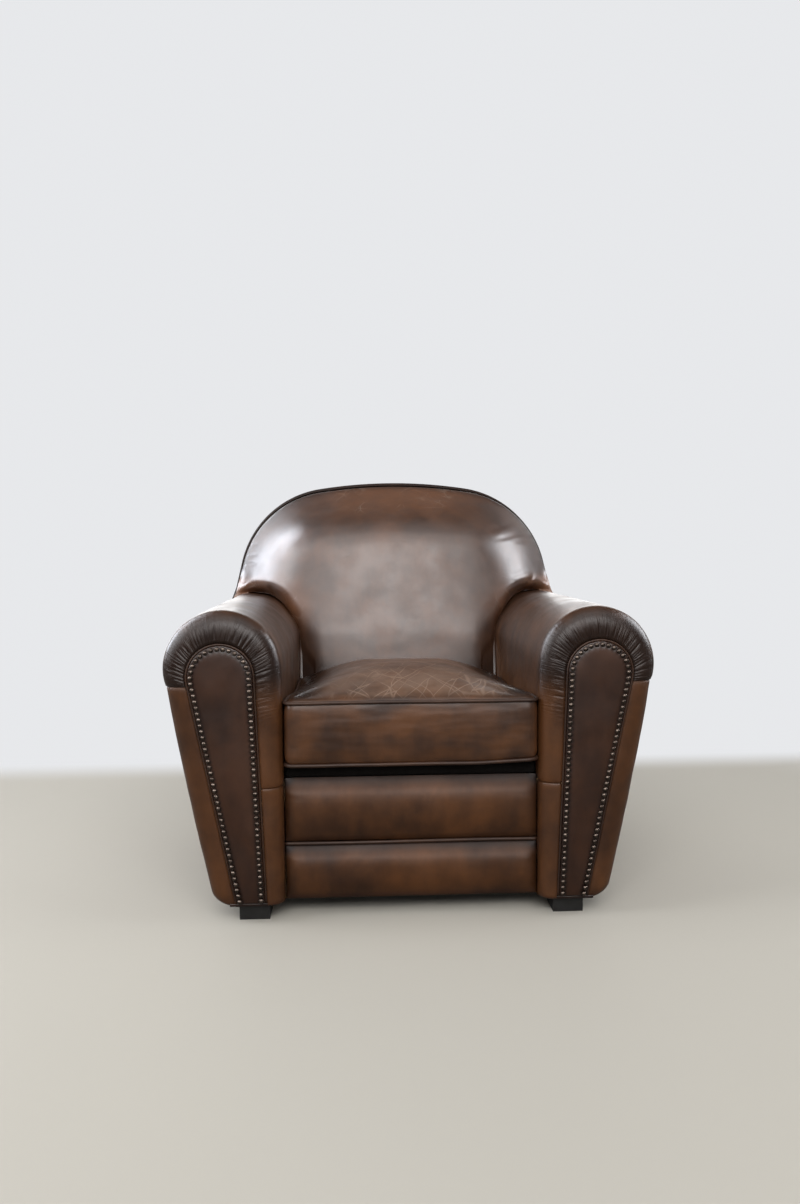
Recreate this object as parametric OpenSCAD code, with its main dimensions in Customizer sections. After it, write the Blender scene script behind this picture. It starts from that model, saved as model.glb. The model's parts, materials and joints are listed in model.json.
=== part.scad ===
// French club chair: a leather lounge chair with round-topped, tapered arms, nailed arm
// fronts, an arched back, a loose boxed seat cushion and a hardwood frame inside.
// Lengths are in millimetres. The front faces -Y and +Z is up. The origin is on the floor,
// below the middle of the whole chair. Left is -X, as seen by someone facing the chair.

/* [Overall] */
// Width over both arms
chair_w = 900; // [800:5:960]
// Depth from the arm fronts to the top of the back
chair_d = 860; // [800:5:940]
// Height of the back above the floor
chair_h = 848; // [800:2:920]
// Height of the bare foot, from the floor to the underside of the frame
base_z = 31; // [24:1:60]

/* [Arms] */
// Width of an arm at its round top
arm_w = 214; // [180:2:230]
// Height of the arm above the floor
arm_h = 574; // [520:1:600]
// Width of an arm at its lower edge
arm_base_w = 130; // [100:1:150]
// Rounding of the arm's lower outer edge
arm_edge_r = 25; // [8:1:35]
// Height of the seam between the arm's top and its outside panel
arm_seam_z = 438; // [410:1:450]
// Height of the lower edge of the inside arm padding
arm_pad_z = 262; // [258:1:280]
// Thickness of the padding on the inside of the arm
arm_pad_t = 38; // [25:1:45]
// Thickness of the padded outside panel
arm_panel_t = 12; // [6:1:18]
// Thickness of the fibreboard liner behind the inside arm padding
liner_t = 4; // [2:0.5:6]

/* [Arm fronts] */
// Width of the nailed facing at its round top
facing_w = 116; // [105:1:140]
// Width of the facing at its lower edge
facing_base_w = 50; // [45:1:75]
// Distance from the top of the arm down to the facing
facing_top_gap = 63; // [50:1:75]
// Distance from the inner face of the arm to the facing at its round top
facing_side_gap = 51; // [44:1:58]
// Distance from the inner face of the arm to the facing at its lower edge
facing_base_gap = 35; // [28:1:40]
// Distance from the underside of the arm up to the facing
facing_lift = 7; // [4:1:20]
// Thickness of the facing at its edge
facing_edge_t = 4; // [3:0.5:6]
// Rise of the facing's padding over its edge
facing_crown = 8; // [4:0.5:12]
// Height of the seam across the inner side of the padded roll
band_seam_z = 250; // [240:1:300]
// Depth of the padded roll round the arm front
band_depth = 38; // [28:1:50]
// Number of gathers in the leather over the top of the arm front
gathers = 34; // [24:1:44]
// Depth of the gathers
gather_h = 1.4; // [0.4:0.1:2]
// Thickness of the plywood arm front
board_t = 22; // [16:1:25]
// Distance from the arm's outline in to the edge of the plywood arm front
board_inset = 34; // [24:1:40]

/* [Nails] */
// Diameter of a nail head
nail_d = 9; // [7:0.5:10]
// Height of a nail head
nail_h = 3; // [2:0.25:4]
// Distance from nail to nail
nail_pitch = 11; // [10.5:0.25:14]
// Distance from the facing's edge in to the row of nails
nail_inset = 6; // [6:0.2:12]
// Diameter of a nail's shank
shank_d = 1.8; // [1.2:0.1:2.4]
// Length of a nail's shank
shank_l = 14; // [10:1:20]

/* [Back] */
// Lean of the outside back from upright, in degrees
back_lean = 5.9; // [3:0.1:9]
// Radius of the flat arc across the top of the back
back_top_r = 1260; // [1100:10:1500]
// Radius of the round shoulders of the back
back_shoulder_r = 252; // [220:2:290]
// Distance from the middle of the chair to the centre of a shoulder
back_shoulder_x = 156; // [140:2:180]
// Thickness of the outside back panel
back_panel_t = 10; // [6:1:16]
// Thickness of the back frame's timber
back_frame_t = 30; // [22:1:36]
// Width of the timber in the arched top of the back
arch_w = 60; // [45:1:75]
// Depth of the inside back padding at the seat
back_pad_low_t = 279; // [260:1:282]
// Depth of the inside back padding at the top of the back
back_pad_top_t = 172; // [140:2:200]
// Height of the middle of the inside back's crown
back_crown_z = 700; // [680:5:730]
// Thickness of the leather border round the back frame
border_t = 9; // [6:1:14]

/* [Cushion] */
// Height of the cushion's side between its two pipings
cushion_side_h = 115; // [95:1:130]
// Rise of the cushion's top over its upper piping
cushion_crown = 30; // [15:1:40]
// Gap between the rear of the cushion and the inside back at its nearest
cushion_back_gap = 8; // [6:0.5:30]
// Distance from the arm fronts back to the cushion's front
cushion_setback = 10; // [4:1:30]
// Rounding of the cushion's corners, seen from above
cushion_corner_r = 26; // [15:1:40]
// How far the cushion's sides draw in between its corners
cushion_draw = 3; // [0:0.5:6]
// Gap between the cushion's piping and each arm
cushion_gap = 1; // [1:0.5:4]
// Width of the zip tape at the rear of the cushion
zip_w = 26; // [18:1:32]
// Distance from the end of the zip to the rounding of the cushion's corner
zip_end_gap = 18; // [5:1:60]

/* [Seat front] */
// Height of the upper edge of the front border
border_top_z = 260; // [255:1:272]
// Height of the welt between the two front rolls
front_welt_z = 136; // [110:1:160]
// Distance from the arm fronts back to the front rolls
roll_setback = 30; // [20:1:40]
// Rise of a front roll over its edge
roll_crown = 14; // [8:1:18]
// Thickness of a front roll at its edge
roll_edge_t = 4; // [3:0.5:8]

/* [Seat] */
// Height of the top of the seat rails
seat_rail_z = 250; // [235:1:256]
// Height of the top of the seat deck
deck_z = 285; // [280:1:290]
// Width of a webbing strap
strap_w = 50; // [40:1:60]
// Thickness of a webbing strap
strap_t = 3; // [2:0.25:4]
// Number of straps from front to rear
straps_long = 5; // [4:1:5]
// Number of straps from side to side
straps_cross = 7; // [5:1:8]

/* [Frame] */
// Thickness of the rails
rail_t = 25; // [20:1:30]
// Height of the seat rails
seat_rail_h = 45; // [35:1:60]
// Height of the lower rails
low_rail_h = 80; // [60:1:90]
// Side of the square front posts
post_w = 45; // [38:1:50]
// Side of a foot
foot_w = 56; // [45:1:60]
// Distance from the arm fronts back to the front feet
foot_setback = 28; // [22:1:36]
// Distance from the inner face of the arm to a foot
foot_inset = 28; // [22:1:40]
// Diameter of a foot bolt
bolt_d = 8; // [6:1:10]
// Length of a foot bolt under its head
bolt_l = 60; // [50:1:80]
// Diameter of a foot bolt's head
bolt_head_d = 14; // [11:1:18]
// Thickness of the dust cover
dust_t = 1.2; // [0.8:0.1:2]

/* [Trim] */
// Radius of the piping on the cushion
piping_r = 3.5; // [2.5:0.25:4.5]
// Radius of the piping round each facing
facing_piping_r = 2; // [1.5:0.25:3.5]
// Radius of the welt round the back
back_welt_r = 3.5; // [3:0.25:5]
// Radius of the thin welt at the rear of each inside arm
arm_welt_r = 1.4; // [1:0.1:1.6]

/* [Hidden] */

$fn = 48;
// Small overrun that lets a cut pass its face
over = 1;
// Gap between a soft piece and what it lies against
gap = 0.3;
// Side of the blocks that cut pieces to a plane, larger than the chair
cut_block = 2 * (chair_w + chair_d + chair_h);

// Arms: the outline is a circle with two tangent sides
arm_r = arm_w / 2;
seat_half = chair_w / 2 - arm_w;
arm_c = [seat_half + arm_r, arm_h - arm_r];
arm_drop = [arm_c, arm_r, [seat_half, base_z], [seat_half + arm_base_w, base_z]];
facing_r = facing_w / 2;
facing_c = [seat_half + facing_side_gap + facing_r, arm_h - facing_top_gap - facing_r];
facing_z = base_z + facing_lift;
facing_in = seat_half + facing_base_gap;
facing_drop = [facing_c, facing_r, [facing_in, facing_z], [facing_in + facing_base_w, facing_z]];
front_y = -chair_d / 2;
board_y = front_y + facing_edge_t + facing_crown;
band_front_y = front_y + facing_crown - gap;
band_rear_y = front_y + band_depth;
post_y = board_y + board_t;
// Space between the liner and a post
post_room = 6;
post_x = seat_half + arm_pad_t + liner_t + post_room;
arm_rail_x = arm_c[0] - post_w / 3;

// Back: planes lean back from the rear edge of the arms' level to the top
back_slope = tan(back_lean);
function rear_y(z) = chair_d / 2 - (chair_h - z) * back_slope;
frame_front_t = back_panel_t + back_frame_t;
frame_front_run = frame_front_t / cos(back_lean);
pad_rear_run = (frame_front_t + strap_t + gap) / cos(back_lean);
// A shoulder is rounded no further than this share of the back's height above the arms
shoulder_limit_share = 0.95;
shoulder_r = min(back_shoulder_r, shoulder_limit_share * (chair_h - arm_h));
top_c = [0, chair_h - back_top_r];
shoulder_rise = sqrt(pow(back_top_r - shoulder_r, 2) - pow(back_shoulder_x, 2));
shoulder_c = [back_shoulder_x, top_c[1] + shoulder_rise];
shoulder_top_a = atan2(shoulder_rise, back_shoulder_x);
flare_v = shoulder_c - arm_c;
flare_a = atan2(flare_v[1], flare_v[0]) - acos((arm_r - shoulder_r) / norm(flare_v));
border_inset = 2 * back_welt_r;
frame_inset = border_inset + border_t + gap;
post_top_z = arm_h - border_t;
// Share of the padding's depth that its upright edge takes: by the seat, in the notch over
// the arm, and round the top
wall_seat_share = 0.82;
wall_notch_share = 0.25;
wall_top_share = 0.14;
// The higher the power, the flatter the back's crown and the steeper its edge
back_power = 2.3;
function pad_depth(z) = mix(back_pad_low_t, back_pad_top_t, (z - deck_z) / (chair_h - deck_z));
// Front of the inside back at a height below its crown, on the middle line
function back_face_y(z) = rear_y(z) - pad_rear_run - pad_depth(z) * mix(wall_seat_share, 1,
    crown_share((back_crown_z - z) / (back_crown_z - deck_z - gap), back_power));
// How far out across the arm the top of a rear post reaches
rear_post_reach_share = 0.76;
post_top_out = seat_half + arm_w * rear_post_reach_share;

// Cushion: all heights are worked up from the seat deck
cushion_z = deck_z + gap;
low_piping_z = cushion_z + piping_r;
top_piping_z = low_piping_z + cushion_side_h;
cushion_front_y = front_y + cushion_setback;
cushion_half_w = seat_half - cushion_gap;
zip_z = (low_piping_z + top_piping_z) / 2;
cushion_rear_y = back_face_y(zip_z) - cushion_back_gap;
cushion_d = cushion_rear_y - cushion_front_y;
cushion_groove = 2 * piping_r + gap;
cushion_side_inset = cushion_groove - piping_r;
cushion_mid_y = (cushion_front_y + cushion_rear_y) / 2;
// How far the cushion's side swells out between its pipings
cushion_bulge = piping_r / 3;
// Thickness of the zip tape
zip_t = 1.2;
zip_l = 2 * (cushion_half_w - cushion_corner_r - zip_end_gap);
zip_y = cushion_rear_y - cushion_side_inset + cushion_bulge + gap;
// Steps along the zip tape's curve
zip_steps = 10;
// Width, depth and height of the zip slider
slider_size = [9, 2, 14];

// Seat front
roll_y = front_y + roll_setback + roll_crown + roll_edge_t;
roll_half_w = seat_half - gap;

// Seat straps weave over and under at two levels
strap_step = strap_t + gap;
strap_top_z = seat_rail_z + 2 * strap_t + gap;
// How far past a crossing strap the weave's slope starts
strap_margin = 4;
// Share of a rail's width that the end of a strap lies on
strap_seat_share = 0.8;
seat_rear_y = rear_y(seat_rail_z) - frame_front_run + back_frame_t / 2;
cross_half_w = seat_half + rail_t * strap_seat_share;

// Feet
foot_x = seat_half + foot_inset + foot_w / 2;
foot_front_y = front_y + foot_setback + foot_w / 2;
// How far ahead of the rear posts the rear feet stand
foot_rear_shift = 7;
foot_rear_y = rear_y(base_z) - back_panel_t - back_frame_t / 2 - foot_rear_shift;
bolt_x = post_x + post_w / 3;
bolt_front_y = post_y + post_w / 2;
bolt_rear_y = rear_y(base_z + bolt_l / 2) - back_panel_t - back_frame_t / 2;
bolt_head_h = 5;
// Height of a bolt's head above the floor, sunk into the foot
bolt_head_z = bolt_head_h;
// Gaps round a bolt's shank and round its head
bolt_fit = 0.1;
bolt_head_room = 1;
// Length and height of a corner block
block_l = 70;
block_h = 50;

// Colours
leather = "#6b4430";
worn_leather = "#84573a";
dark_leather = "#3d2821";
timber = "#c9a878";
plywood = "#d8bd8f";
black_cloth = "#1c1b1a";

// Points on an arc, from one angle to another
function arc(c, r, a0, a1, n) = [for (i = [0:n]) let (a = a0 + (a1 - a0) * i / n)
    c + r * [cos(a), sin(a)]];
function mix(a, b, t) = a + (b - a) * t;
function clamp(t) = min(1, max(0, t));

// A drop is [centre, radius, lower inner point, lower outer point]
function tangent_a(drop, side) = let (p = drop[side < 0 ? 2 : 3], v = p - drop[0])
    atan2(v[1], v[0]) + side * acos(drop[1] / norm(v));
function drop_inset(drop, d) = [drop[0], drop[1] - d,
    drop[2] + [d / abs(cos(tangent_a(drop, -1))), 0],
    drop[3] - [d / abs(cos(tangent_a(drop, 1))), 0]];
// Open outline of a drop: up the inner side, over the top and down the outer side
function drop_path(drop, side_n, top_n) = let (a_in = tangent_a(drop, -1) + 360,
    a_out = tangent_a(drop, 1), top = arc(drop[0], drop[1], a_in, a_out, top_n))
    concat([for (i = [0:side_n - 1]) mix(drop[2], top[0], i / side_n)], top,
        [for (i = [1:side_n]) mix(top[top_n], drop[3], i / side_n)]);
// Closed outline of the arm with a rounded lower outer edge
function arm_outline(d = 0) = let (drop = drop_inset(arm_drop, d), a = tangent_a(drop, 1),
    r = max(arm_edge_r - d, gap), z = base_z + r,
    x = drop[3][0] - r / cos(a) - (z - drop[3][1]) * tan(a))
    concat([drop[2]], arc(drop[0], drop[1], 180, a, 32), arc([x, z], r, a, -90, 5));

// Half outline of the back, from the arm's flank over the shoulder to the middle of the top
function back_half(d, arm_a, n) = concat(
    arc(arm_c, arm_r - d, arm_a, flare_a, 3),
    arc(shoulder_c, shoulder_r - d, flare_a, shoulder_top_a, n),
    [for (i = [1:3]) let (a = mix(shoulder_top_a, 90, i / 3))
        top_c + (back_top_r - d) * [cos(a), sin(a)]]);
// Half outline of the whole chair seen from behind, from the lower edge to the top
function rear_half(d) = let (drop = drop_inset(arm_drop, d))
    concat([drop[3]], back_half(d, tangent_a(drop, 1), 12));
function whole(half) = concat(half,
    [for (i = [len(half) - 2:-1:0]) [-half[i][0], half[i][1]]]);
// Points in the leaning plane of the outside back, measured down from its top
function in_plane(points) = [for (p = points) [p[0], (p[1] - chair_h) / cos(back_lean)]];

module mirror_x(side) {
    mirror([side < 0 ? 1 : 0, 0, 0]) children();
}
module each_side() {
    for (side = [-1, 1]) mirror_x(side) children();
}
// Extrudes an outline drawn in x and z from one y to another
module along_y(y0, y1) {
    translate([0, y1, 0]) rotate([90, 0, 0]) linear_extrude(y1 - y0) children();
}
// A box between two corners
module block(low, high) {
    translate(low) cube(high - low);
}
// Places children in the leaning frame of the outside back, y = 0 at its rear face
module leaned() {
    translate([0, chair_d / 2, chair_h]) rotate([-back_lean, 0, 0]) children();
}
// Cuts children off at the front face of the back frame
module ahead_of_back() {
    difference() {
        children();
        leaned() translate([-cut_block / 2, -frame_front_t, -cut_block / 2])
            cube(cut_block);
    }
}
// Keeps only what is above the underside of the chair
module above_base() {
    difference() {
        children();
        translate([-cut_block / 2, -cut_block / 2, base_z - cut_block]) cube(cut_block);
    }
}

// Closed skin over rings of equal length, which run anticlockwise seen from the last one.
// The first end is flat, and the last is flat or a fan round its middle.
module skin(rings, flat_last = false) {
    n = len(rings[0]);
    m = len(rings);
    end = rings[m - 1];
    middle = [for (k = [0:2]) (max([for (p = end) p[k]]) + min([for (p = end) p[k]])) / 2];
    sides = [for (j = [0:m - 2], i = [0:n - 1]) let (a = j * n + i, b = j * n + (i + 1) % n)
        each [[a, b + n, b], [a, a + n, b + n]]];
    last = [for (i = [0:n - 1]) (m - 1) * n + i];
    fan = [for (i = [0:n - 1]) [m * n, last[(i + 1) % n], last[i]]];
    polyhedron(concat([for (r = rings) each r], [middle]), concat(sides,
        [[for (i = [0:n - 1]) i]], flat_last ? [[for (i = [n - 1:-1:0]) last[i]]] : fan));
}
// A round tube along a path of [x, y, z] points, open or closed
module tube(path, r, closed = false, sides = 6) {
    n = len(path);
    function at(i) = path[(i + n) % n];
    function heading(i) = let (v = closed ? at(i + 1) - at(i - 1)
        : path[min(i + 1, n - 1)] - path[max(i - 1, 0)]) v / norm(v);
    function ring(i) = let (t = heading(i), side = cross(t, tube_up(t)), s = side / norm(side),
        u = cross(s, t)) [for (k = [0:sides - 1]) let (a = 360 * k / sides)
            path[i] + r * (cos(a) * s - sin(a) * u)];
    rings = [for (i = [0:n - 1]) ring(i)];
    if (closed) {
        points = [for (r = rings) each r];
        polyhedron(points, [for (j = [0:n - 1], i = [0:sides - 1])
            let (a = j * sides + i, b = j * sides + (i + 1) % sides, jn = (j + 1) % n,
                c = jn * sides + (i + 1) % sides, d = jn * sides + i)
            each [[a, c, b], [a, d, c]]]);
    } else {
        skin(rings, flat_last = true);
    }
}
function tube_up(t) = abs(t[1]) > 0.9 ? [0, 0, 1] : [0, 1, 0];
// Share of a crown's rise reached at a share s of the way from the middle to the edge
function crown_share(s, power) = pow(1 - pow(clamp(s), power), 1 / power);
// The higher the power, the flatter the crown and the steeper its edge
facing_power = 2.5;
roll_power = 3;
cushion_power = 2.2;
// Angle at which the rings of a crown stop short of its middle
crown_end_a = 86;
// Share of the way out from the middle of a crown at which a ring lies
function ring_share(t, power) = pow(cos(crown_end_a * t), 2 / power);
// Rings of a padded form: flat rear, upright edge, crowned front towards -Y
function pad_rings(outline, c, y, edge_t, crown, power, n) = concat(
    [[for (p = outline) [p[0], y, p[1]]]],
    [for (k = [0:n]) let (s = ring_share(k / n, power), h = crown_share(s, power))
        [for (p = outline) let (q = c + s * (p - c)) [q[0], y - edge_t - crown * h, q[1]]]]);

// Wooden frame
module rail(low, high) {
    color(timber) ahead_of_back() block(low, high);
}
module front_lower_rail() {
    rail([-post_x, roll_y, base_z], [post_x, roll_y + rail_t, base_z + low_rail_h]);
}
module front_seat_rail() {
    rail([-post_x, roll_y, seat_rail_z - seat_rail_h], [post_x, roll_y + rail_t, seat_rail_z]);
}
module side_lower_rail(side) {
    mirror_x(side) rail([post_x, post_y + post_w, base_z],
        [post_x + rail_t, chair_d / 2, base_z + low_rail_h]);
}
module side_seat_rail(side) {
    mirror_x(side) rail([seat_half, roll_y + rail_t, seat_rail_z - seat_rail_h],
        [seat_half + rail_t, chair_d / 2, seat_rail_z]);
}
module front_post(side) {
    color(timber) mirror_x(side) difference() {
        block([post_x, post_y, base_z], [post_x + post_w, post_y + post_w, arm_seam_z - rail_t]);
        foot_bolt_hole(bolt_front_y);
    }
}
module arm_front_board(side) {
    color(plywood) mirror_x(side) along_y(board_y, post_y)
        polygon(drop_path(drop_inset(arm_drop, board_inset), 1, 24));
}
module arm_top_rail(side) {
    mirror_x(side) rail([arm_rail_x, post_y, arm_seam_z - rail_t],
        [arm_rail_x + post_w, chair_d / 2, arm_seam_z]);
}
module arm_stay_rail(side) {
    mirror_x(side) rail([seat_half + arm_pad_t + liner_t, post_y + post_w, arm_pad_z],
        [seat_half + arm_pad_t + liner_t + rail_t, chair_d / 2, arm_pad_z + rail_t]);
}
// Inner and outer edges of a rear post at a height
function post_share(z) = (z - base_z) / (post_top_z - base_z);
function post_in(z) = mix(post_x, post_top_out - arch_w, post_share(z));
function post_out(z) = mix(post_x + post_w, post_top_out, post_share(z));
module back_board(points) {
    leaned() along_y(-frame_front_t, -back_panel_t) polygon(in_plane(points));
}
// How far a back board's front edge stands above its outline, because it leans
lean_rise = frame_front_t * sin(back_lean);
module rear_post(side) {
    low = base_z - over - frame_front_t;
    color(timber) mirror_x(side) above_base() difference() {
        back_board([[post_in(low), low], [post_in(post_top_z), post_top_z],
            [post_out(post_top_z), post_top_z], [post_out(low), low]]);
        foot_bolt_hole(bolt_rear_y);
    }
}
module back_rail(z0, z1) {
    low = z0 - lean_rise;
    high = z1 - lean_rise;
    color(timber) above_base() back_board([[-post_in(low), low], [-post_in(high), high],
        [post_in(high), high], [post_in(low), low]]);
}
module back_lower_rail() {
    back_rail(base_z - over, base_z + low_rail_h);
}
module back_seat_rail() {
    back_rail(seat_rail_z - seat_rail_h, seat_rail_z);
}
module back_stay_rail() {
    back_rail(arm_pad_z, arm_pad_z + seat_rail_h);
}
// The arched top of the back frame, in three pieces joined end to end
module arch_part(x0, x1) {
    color(timber) intersection() {
        difference() {
            back_board(whole(back_half(frame_inset, flare_a, 12)));
            leaned() along_y(-frame_front_t - over, -back_panel_t + over)
                polygon(in_plane(whole(back_half(frame_inset + arch_w, flare_a, 12))));
        }
        block([x0, -cut_block, post_top_z + lean_rise],
            [x1, cut_block, cut_block]);
    }
}
module back_shoulder(side) {
    mirror_x(side) arch_part(back_shoulder_x, cut_block);
}
module back_top_rail() {
    arch_part(-back_shoulder_x, back_shoulder_x);
}
module corner_blocks() {
    front = roll_y + rail_t;
    rear = rear_y(base_z) - frame_front_run;
    color(timber) each_side() {
        translate([0, 0, base_z]) linear_extrude(block_h)
            polygon([[post_x, front], [post_x - block_l, front], [post_x, front + block_l]]);
        ahead_of_back() translate([0, 0, base_z]) linear_extrude(block_h)
            polygon([[post_x, rear - block_l], [post_x - block_l, rear],
                [post_x - block_l, rear + block_l], [post_x, rear + block_l]]);
    }
}

// Webbing: straps that weave over and under each other
function strap_levels(low, high, centres, start) = concat([[low, 0]],
    [for (i = [0:len(centres) - 1]) let (z = (i + start) % 2 * strap_step,
        h = strap_w / 2 + strap_margin) each [[centres[i] - h, z], [centres[i] + h, z]]],
    [[high, 0]]);
module strap_profile(levels) {
    polygon(concat(levels, [for (i = [len(levels) - 1:-1:0]) levels[i] + [0, strap_t]]));
}
long_pitch = 2 * seat_half / straps_long;
long_x = [for (i = [0:straps_long - 1]) -seat_half + (i + 0.5) * long_pitch];
cross_low_y = roll_y + rail_t;
cross_pitch = (rear_y(seat_rail_z) - frame_front_run - cross_low_y) / straps_cross;
cross_y = [for (i = [0:straps_cross - 1]) cross_low_y + (i + 0.5) * cross_pitch];
module seat_straps_long() {
    color(black_cloth) for (i = [0:straps_long - 1])
        translate([long_x[i] - strap_w / 2, 0, seat_rail_z]) rotate([90, 0, 90])
            linear_extrude(strap_w) strap_profile(strap_levels(roll_y, seat_rear_y, cross_y, i));
}
module seat_straps_cross() {
    color(black_cloth) for (i = [0:straps_cross - 1])
        translate([0, 0, seat_rail_z]) along_y(cross_y[i] - strap_w / 2, cross_y[i] + strap_w / 2)
            strap_profile(strap_levels(-cross_half_w, cross_half_w, long_x, i + 1));
}
// Half width of the back at a height, inside its outline by d
function back_x(z, d) = let (v = z - shoulder_c[1], r = shoulder_r - d)
    v < r * sin(flare_a) ? shoulder_c[0] + (r - v * sin(flare_a)) / cos(flare_a)
    : shoulder_c[0] + sqrt(r * r - v * v);
// Number of straps up the back
back_straps_n = 4;
module back_straps() {
    pitch = 2 * seat_half / back_straps_n;
    low = (arm_pad_z + seat_rail_h / 2 - chair_h) / cos(back_lean);
    high = -(frame_inset + arch_w / 2) / cos(back_lean);
    color(black_cloth) leaned() for (i = [0:back_straps_n - 1])
        translate([-seat_half + (i + 0.5) * pitch - strap_w / 2, -frame_front_t - strap_t, low])
            cube([strap_w, strap_t, high - low]);
}
module seat_deck() {
    color(black_cloth) ahead_of_back() block([-seat_half + gap, roll_y, strap_top_z + gap],
        [seat_half - gap, chair_d / 2, deck_z]);
}
module foot_holes(size) {
    each_side() for (y = [foot_front_y, foot_rear_y])
        translate([foot_x - size / 2, y - size / 2, -over]) cube([size, size, base_z + 2 * over]);
}
module dust_cover() {
    half = seat_half + arm_base_w - arm_edge_r;
    color(black_cloth) difference() {
        block([-half, roll_y, base_z - dust_t],
            [half, rear_y(base_z) - back_panel_t, base_z]);
        foot_holes(foot_w + 2 * gap);
    }
}

// Feet, each held by one bolt from below
module foot_bolt_hole(y) {
    translate([bolt_x, y, -over])
        cylinder(d = bolt_d + 2 * bolt_fit, h = over + bolt_head_z + bolt_head_h + bolt_l + bolt_fit);
}
module foot(side, y, bolt_y) {
    color("#151413") mirror_x(side) difference() {
        translate([foot_x - foot_w / 2, y - foot_w / 2, 0]) cube([foot_w, foot_w, base_z]);
        foot_bolt_hole(bolt_y);
        translate([bolt_x, bolt_y, -over])
            cylinder(d = bolt_head_d + 2 * bolt_head_room, h = over + bolt_head_z + bolt_head_h);
    }
}
module foot_bolts() {
    color("silver") each_side() for (y = [bolt_front_y, bolt_rear_y])
        translate([bolt_x, y, bolt_head_z]) {
            cylinder(d = bolt_head_d, h = bolt_head_h, $fn = 6);
            translate([0, 0, bolt_head_h]) cylinder(d = bolt_d, h = bolt_l);
        }
}

// Arms
module inside_arm(side) {
    color(worn_leather) mirror_x(side) ahead_of_back()
        block([seat_half, band_rear_y, arm_pad_z], [seat_half + arm_pad_t, chair_d / 2, arm_seam_z]);
}
module arm_liners() {
    color(plywood) each_side() ahead_of_back()
        block([seat_half + arm_pad_t, post_y, arm_pad_z],
            [seat_half + arm_pad_t + liner_t, chair_d / 2, arm_seam_z]);
}
module arm_roll(side) {
    color(leather) mirror_x(side) ahead_of_back() along_y(band_rear_y, chair_d / 2)
        intersection() {
            polygon(arm_outline());
            translate([0, arm_seam_z]) square(chair_w);
        }
}
module outside_arm(side) {
    color(worn_leather) mirror_x(side) ahead_of_back() along_y(band_rear_y, chair_d / 2)
        intersection() {
            difference() {
                polygon(arm_outline());
                polygon(arm_outline(arm_panel_t));
            }
            translate([arm_drop[3][0] - 2 * arm_edge_r, 0]) square([chair_w, arm_seam_z]);
        }
}

// Arm fronts
band_in = drop_inset(facing_drop, -2 * (facing_piping_r + gap));
band_back = drop_inset(arm_drop, board_inset - gap);
function top_ends(drop) = [for (side = [-1, 1]) let (a = tangent_a(drop, side))
    drop[0] + drop[1] * [cos(a), sin(a)]];
// The point at a height on the straight inner or outer side of a drop
function side_at(drop, side, z) = let (low = drop[side < 0 ? 2 : 3],
    high = top_ends(drop)[side < 0 ? 0 : 1])
    mix(low, high, (z - low[1]) / (high[1] - low[1]));
function side_run(drop, side, z0, z1, n) = [for (i = [0:n])
    side_at(drop, side, mix(z0, z1, i / n))];
// From the inner seam, up the inner side and over the top, down to the outer seam
function over_top(drop, side_n, n) = let (ends = top_ends(drop)) concat(
    [for (i = [0:side_n - 1]) mix(side_at(drop, -1, band_seam_z), ends[0], i / side_n)],
    arc(drop[0], drop[1], tangent_a(drop, -1) + 360, tangent_a(drop, 1), n),
    [side_at(drop, 1, outer_seam_z)]);
outer_seam_z = arm_seam_z;
// Steps round the padded roll's section
roll_steps = 6;
// Section of the padded roll at one station: round outside, stepped round the plywood inside
function roll_section(a, f, b, bump) = let (out = (a - f) / norm(a - f)) concat(
    [for (k = [0:roll_steps]) let (t = 90 * k / roll_steps, q = f + (a - f) * cos(t)
            + out * bump * sin(2 * t) * cos(t))
        [q[0], band_rear_y - (band_rear_y - band_front_y) * sin(t) - bump * sin(2 * t) * sin(t),
            q[1]]],
    [[f[0], board_y - gap, f[1]], [b[0], board_y - gap, b[1]], [b[0], band_rear_y, b[1]]]);
module roll_piece(outer, front, back, bumps) {
    skin([for (i = [0:len(outer) - 1]) roll_section(outer[i], front[i], back[i], bumps[i])],
        flat_last = true);
}
// Stations up the inner side over which the gathers grow
gather_side_n = 8;
module gathered_band(side) {
    n = 2 * gathers;
    bumps = concat([for (i = [0:gather_side_n + n]) let (fade = clamp(i / gather_side_n))
        (i % 2 == 0 ? -1 : 1) * gather_h / 2 * fade], [0]);
    color(dark_leather) mirror_x(side) roll_piece(over_top(arm_drop, gather_side_n, n),
        over_top(band_in, gather_side_n, n), over_top(band_back, gather_side_n, n), bumps);
}
module arm_front_strips() {
    flat = [for (i = [0:2]) 0];
    color(worn_leather) each_side() {
        roll_piece(side_run(arm_drop, -1, base_z, band_seam_z, 2),
            side_run(band_in, -1, base_z, band_seam_z, 2),
            side_run(band_back, -1, base_z, band_seam_z, 2), flat);
        roll_piece(side_run(arm_drop, 1, outer_seam_z, base_z, 2),
            side_run(band_in, 1, outer_seam_z, base_z, 2),
            side_run(band_back, 1, outer_seam_z, base_z, 2), flat);
    }
}
// Height of the middle of the facing's crown
facing_mid_share = 0.55;
facing_mid = [(facing_in + facing_base_w / 2 + facing_c[0]) / 2,
    mix(facing_z, facing_c[1], facing_mid_share)];
module facing(side) {
    path = drop_path(facing_drop, 6, 18);
    color(dark_leather) mirror_x(side) skin(pad_rings([for (i = [len(path) - 1:-1:0]) path[i]],
        facing_mid, board_y, facing_edge_t, facing_crown, facing_power, 6));
}
module facing_piping() {
    path = drop_path(drop_inset(facing_drop, -facing_piping_r - gap), 4, 18);
    color(dark_leather) each_side()
        tube([for (p = path) [p[0], board_y - facing_piping_r - gap, p[1]]], facing_piping_r);
}
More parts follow.
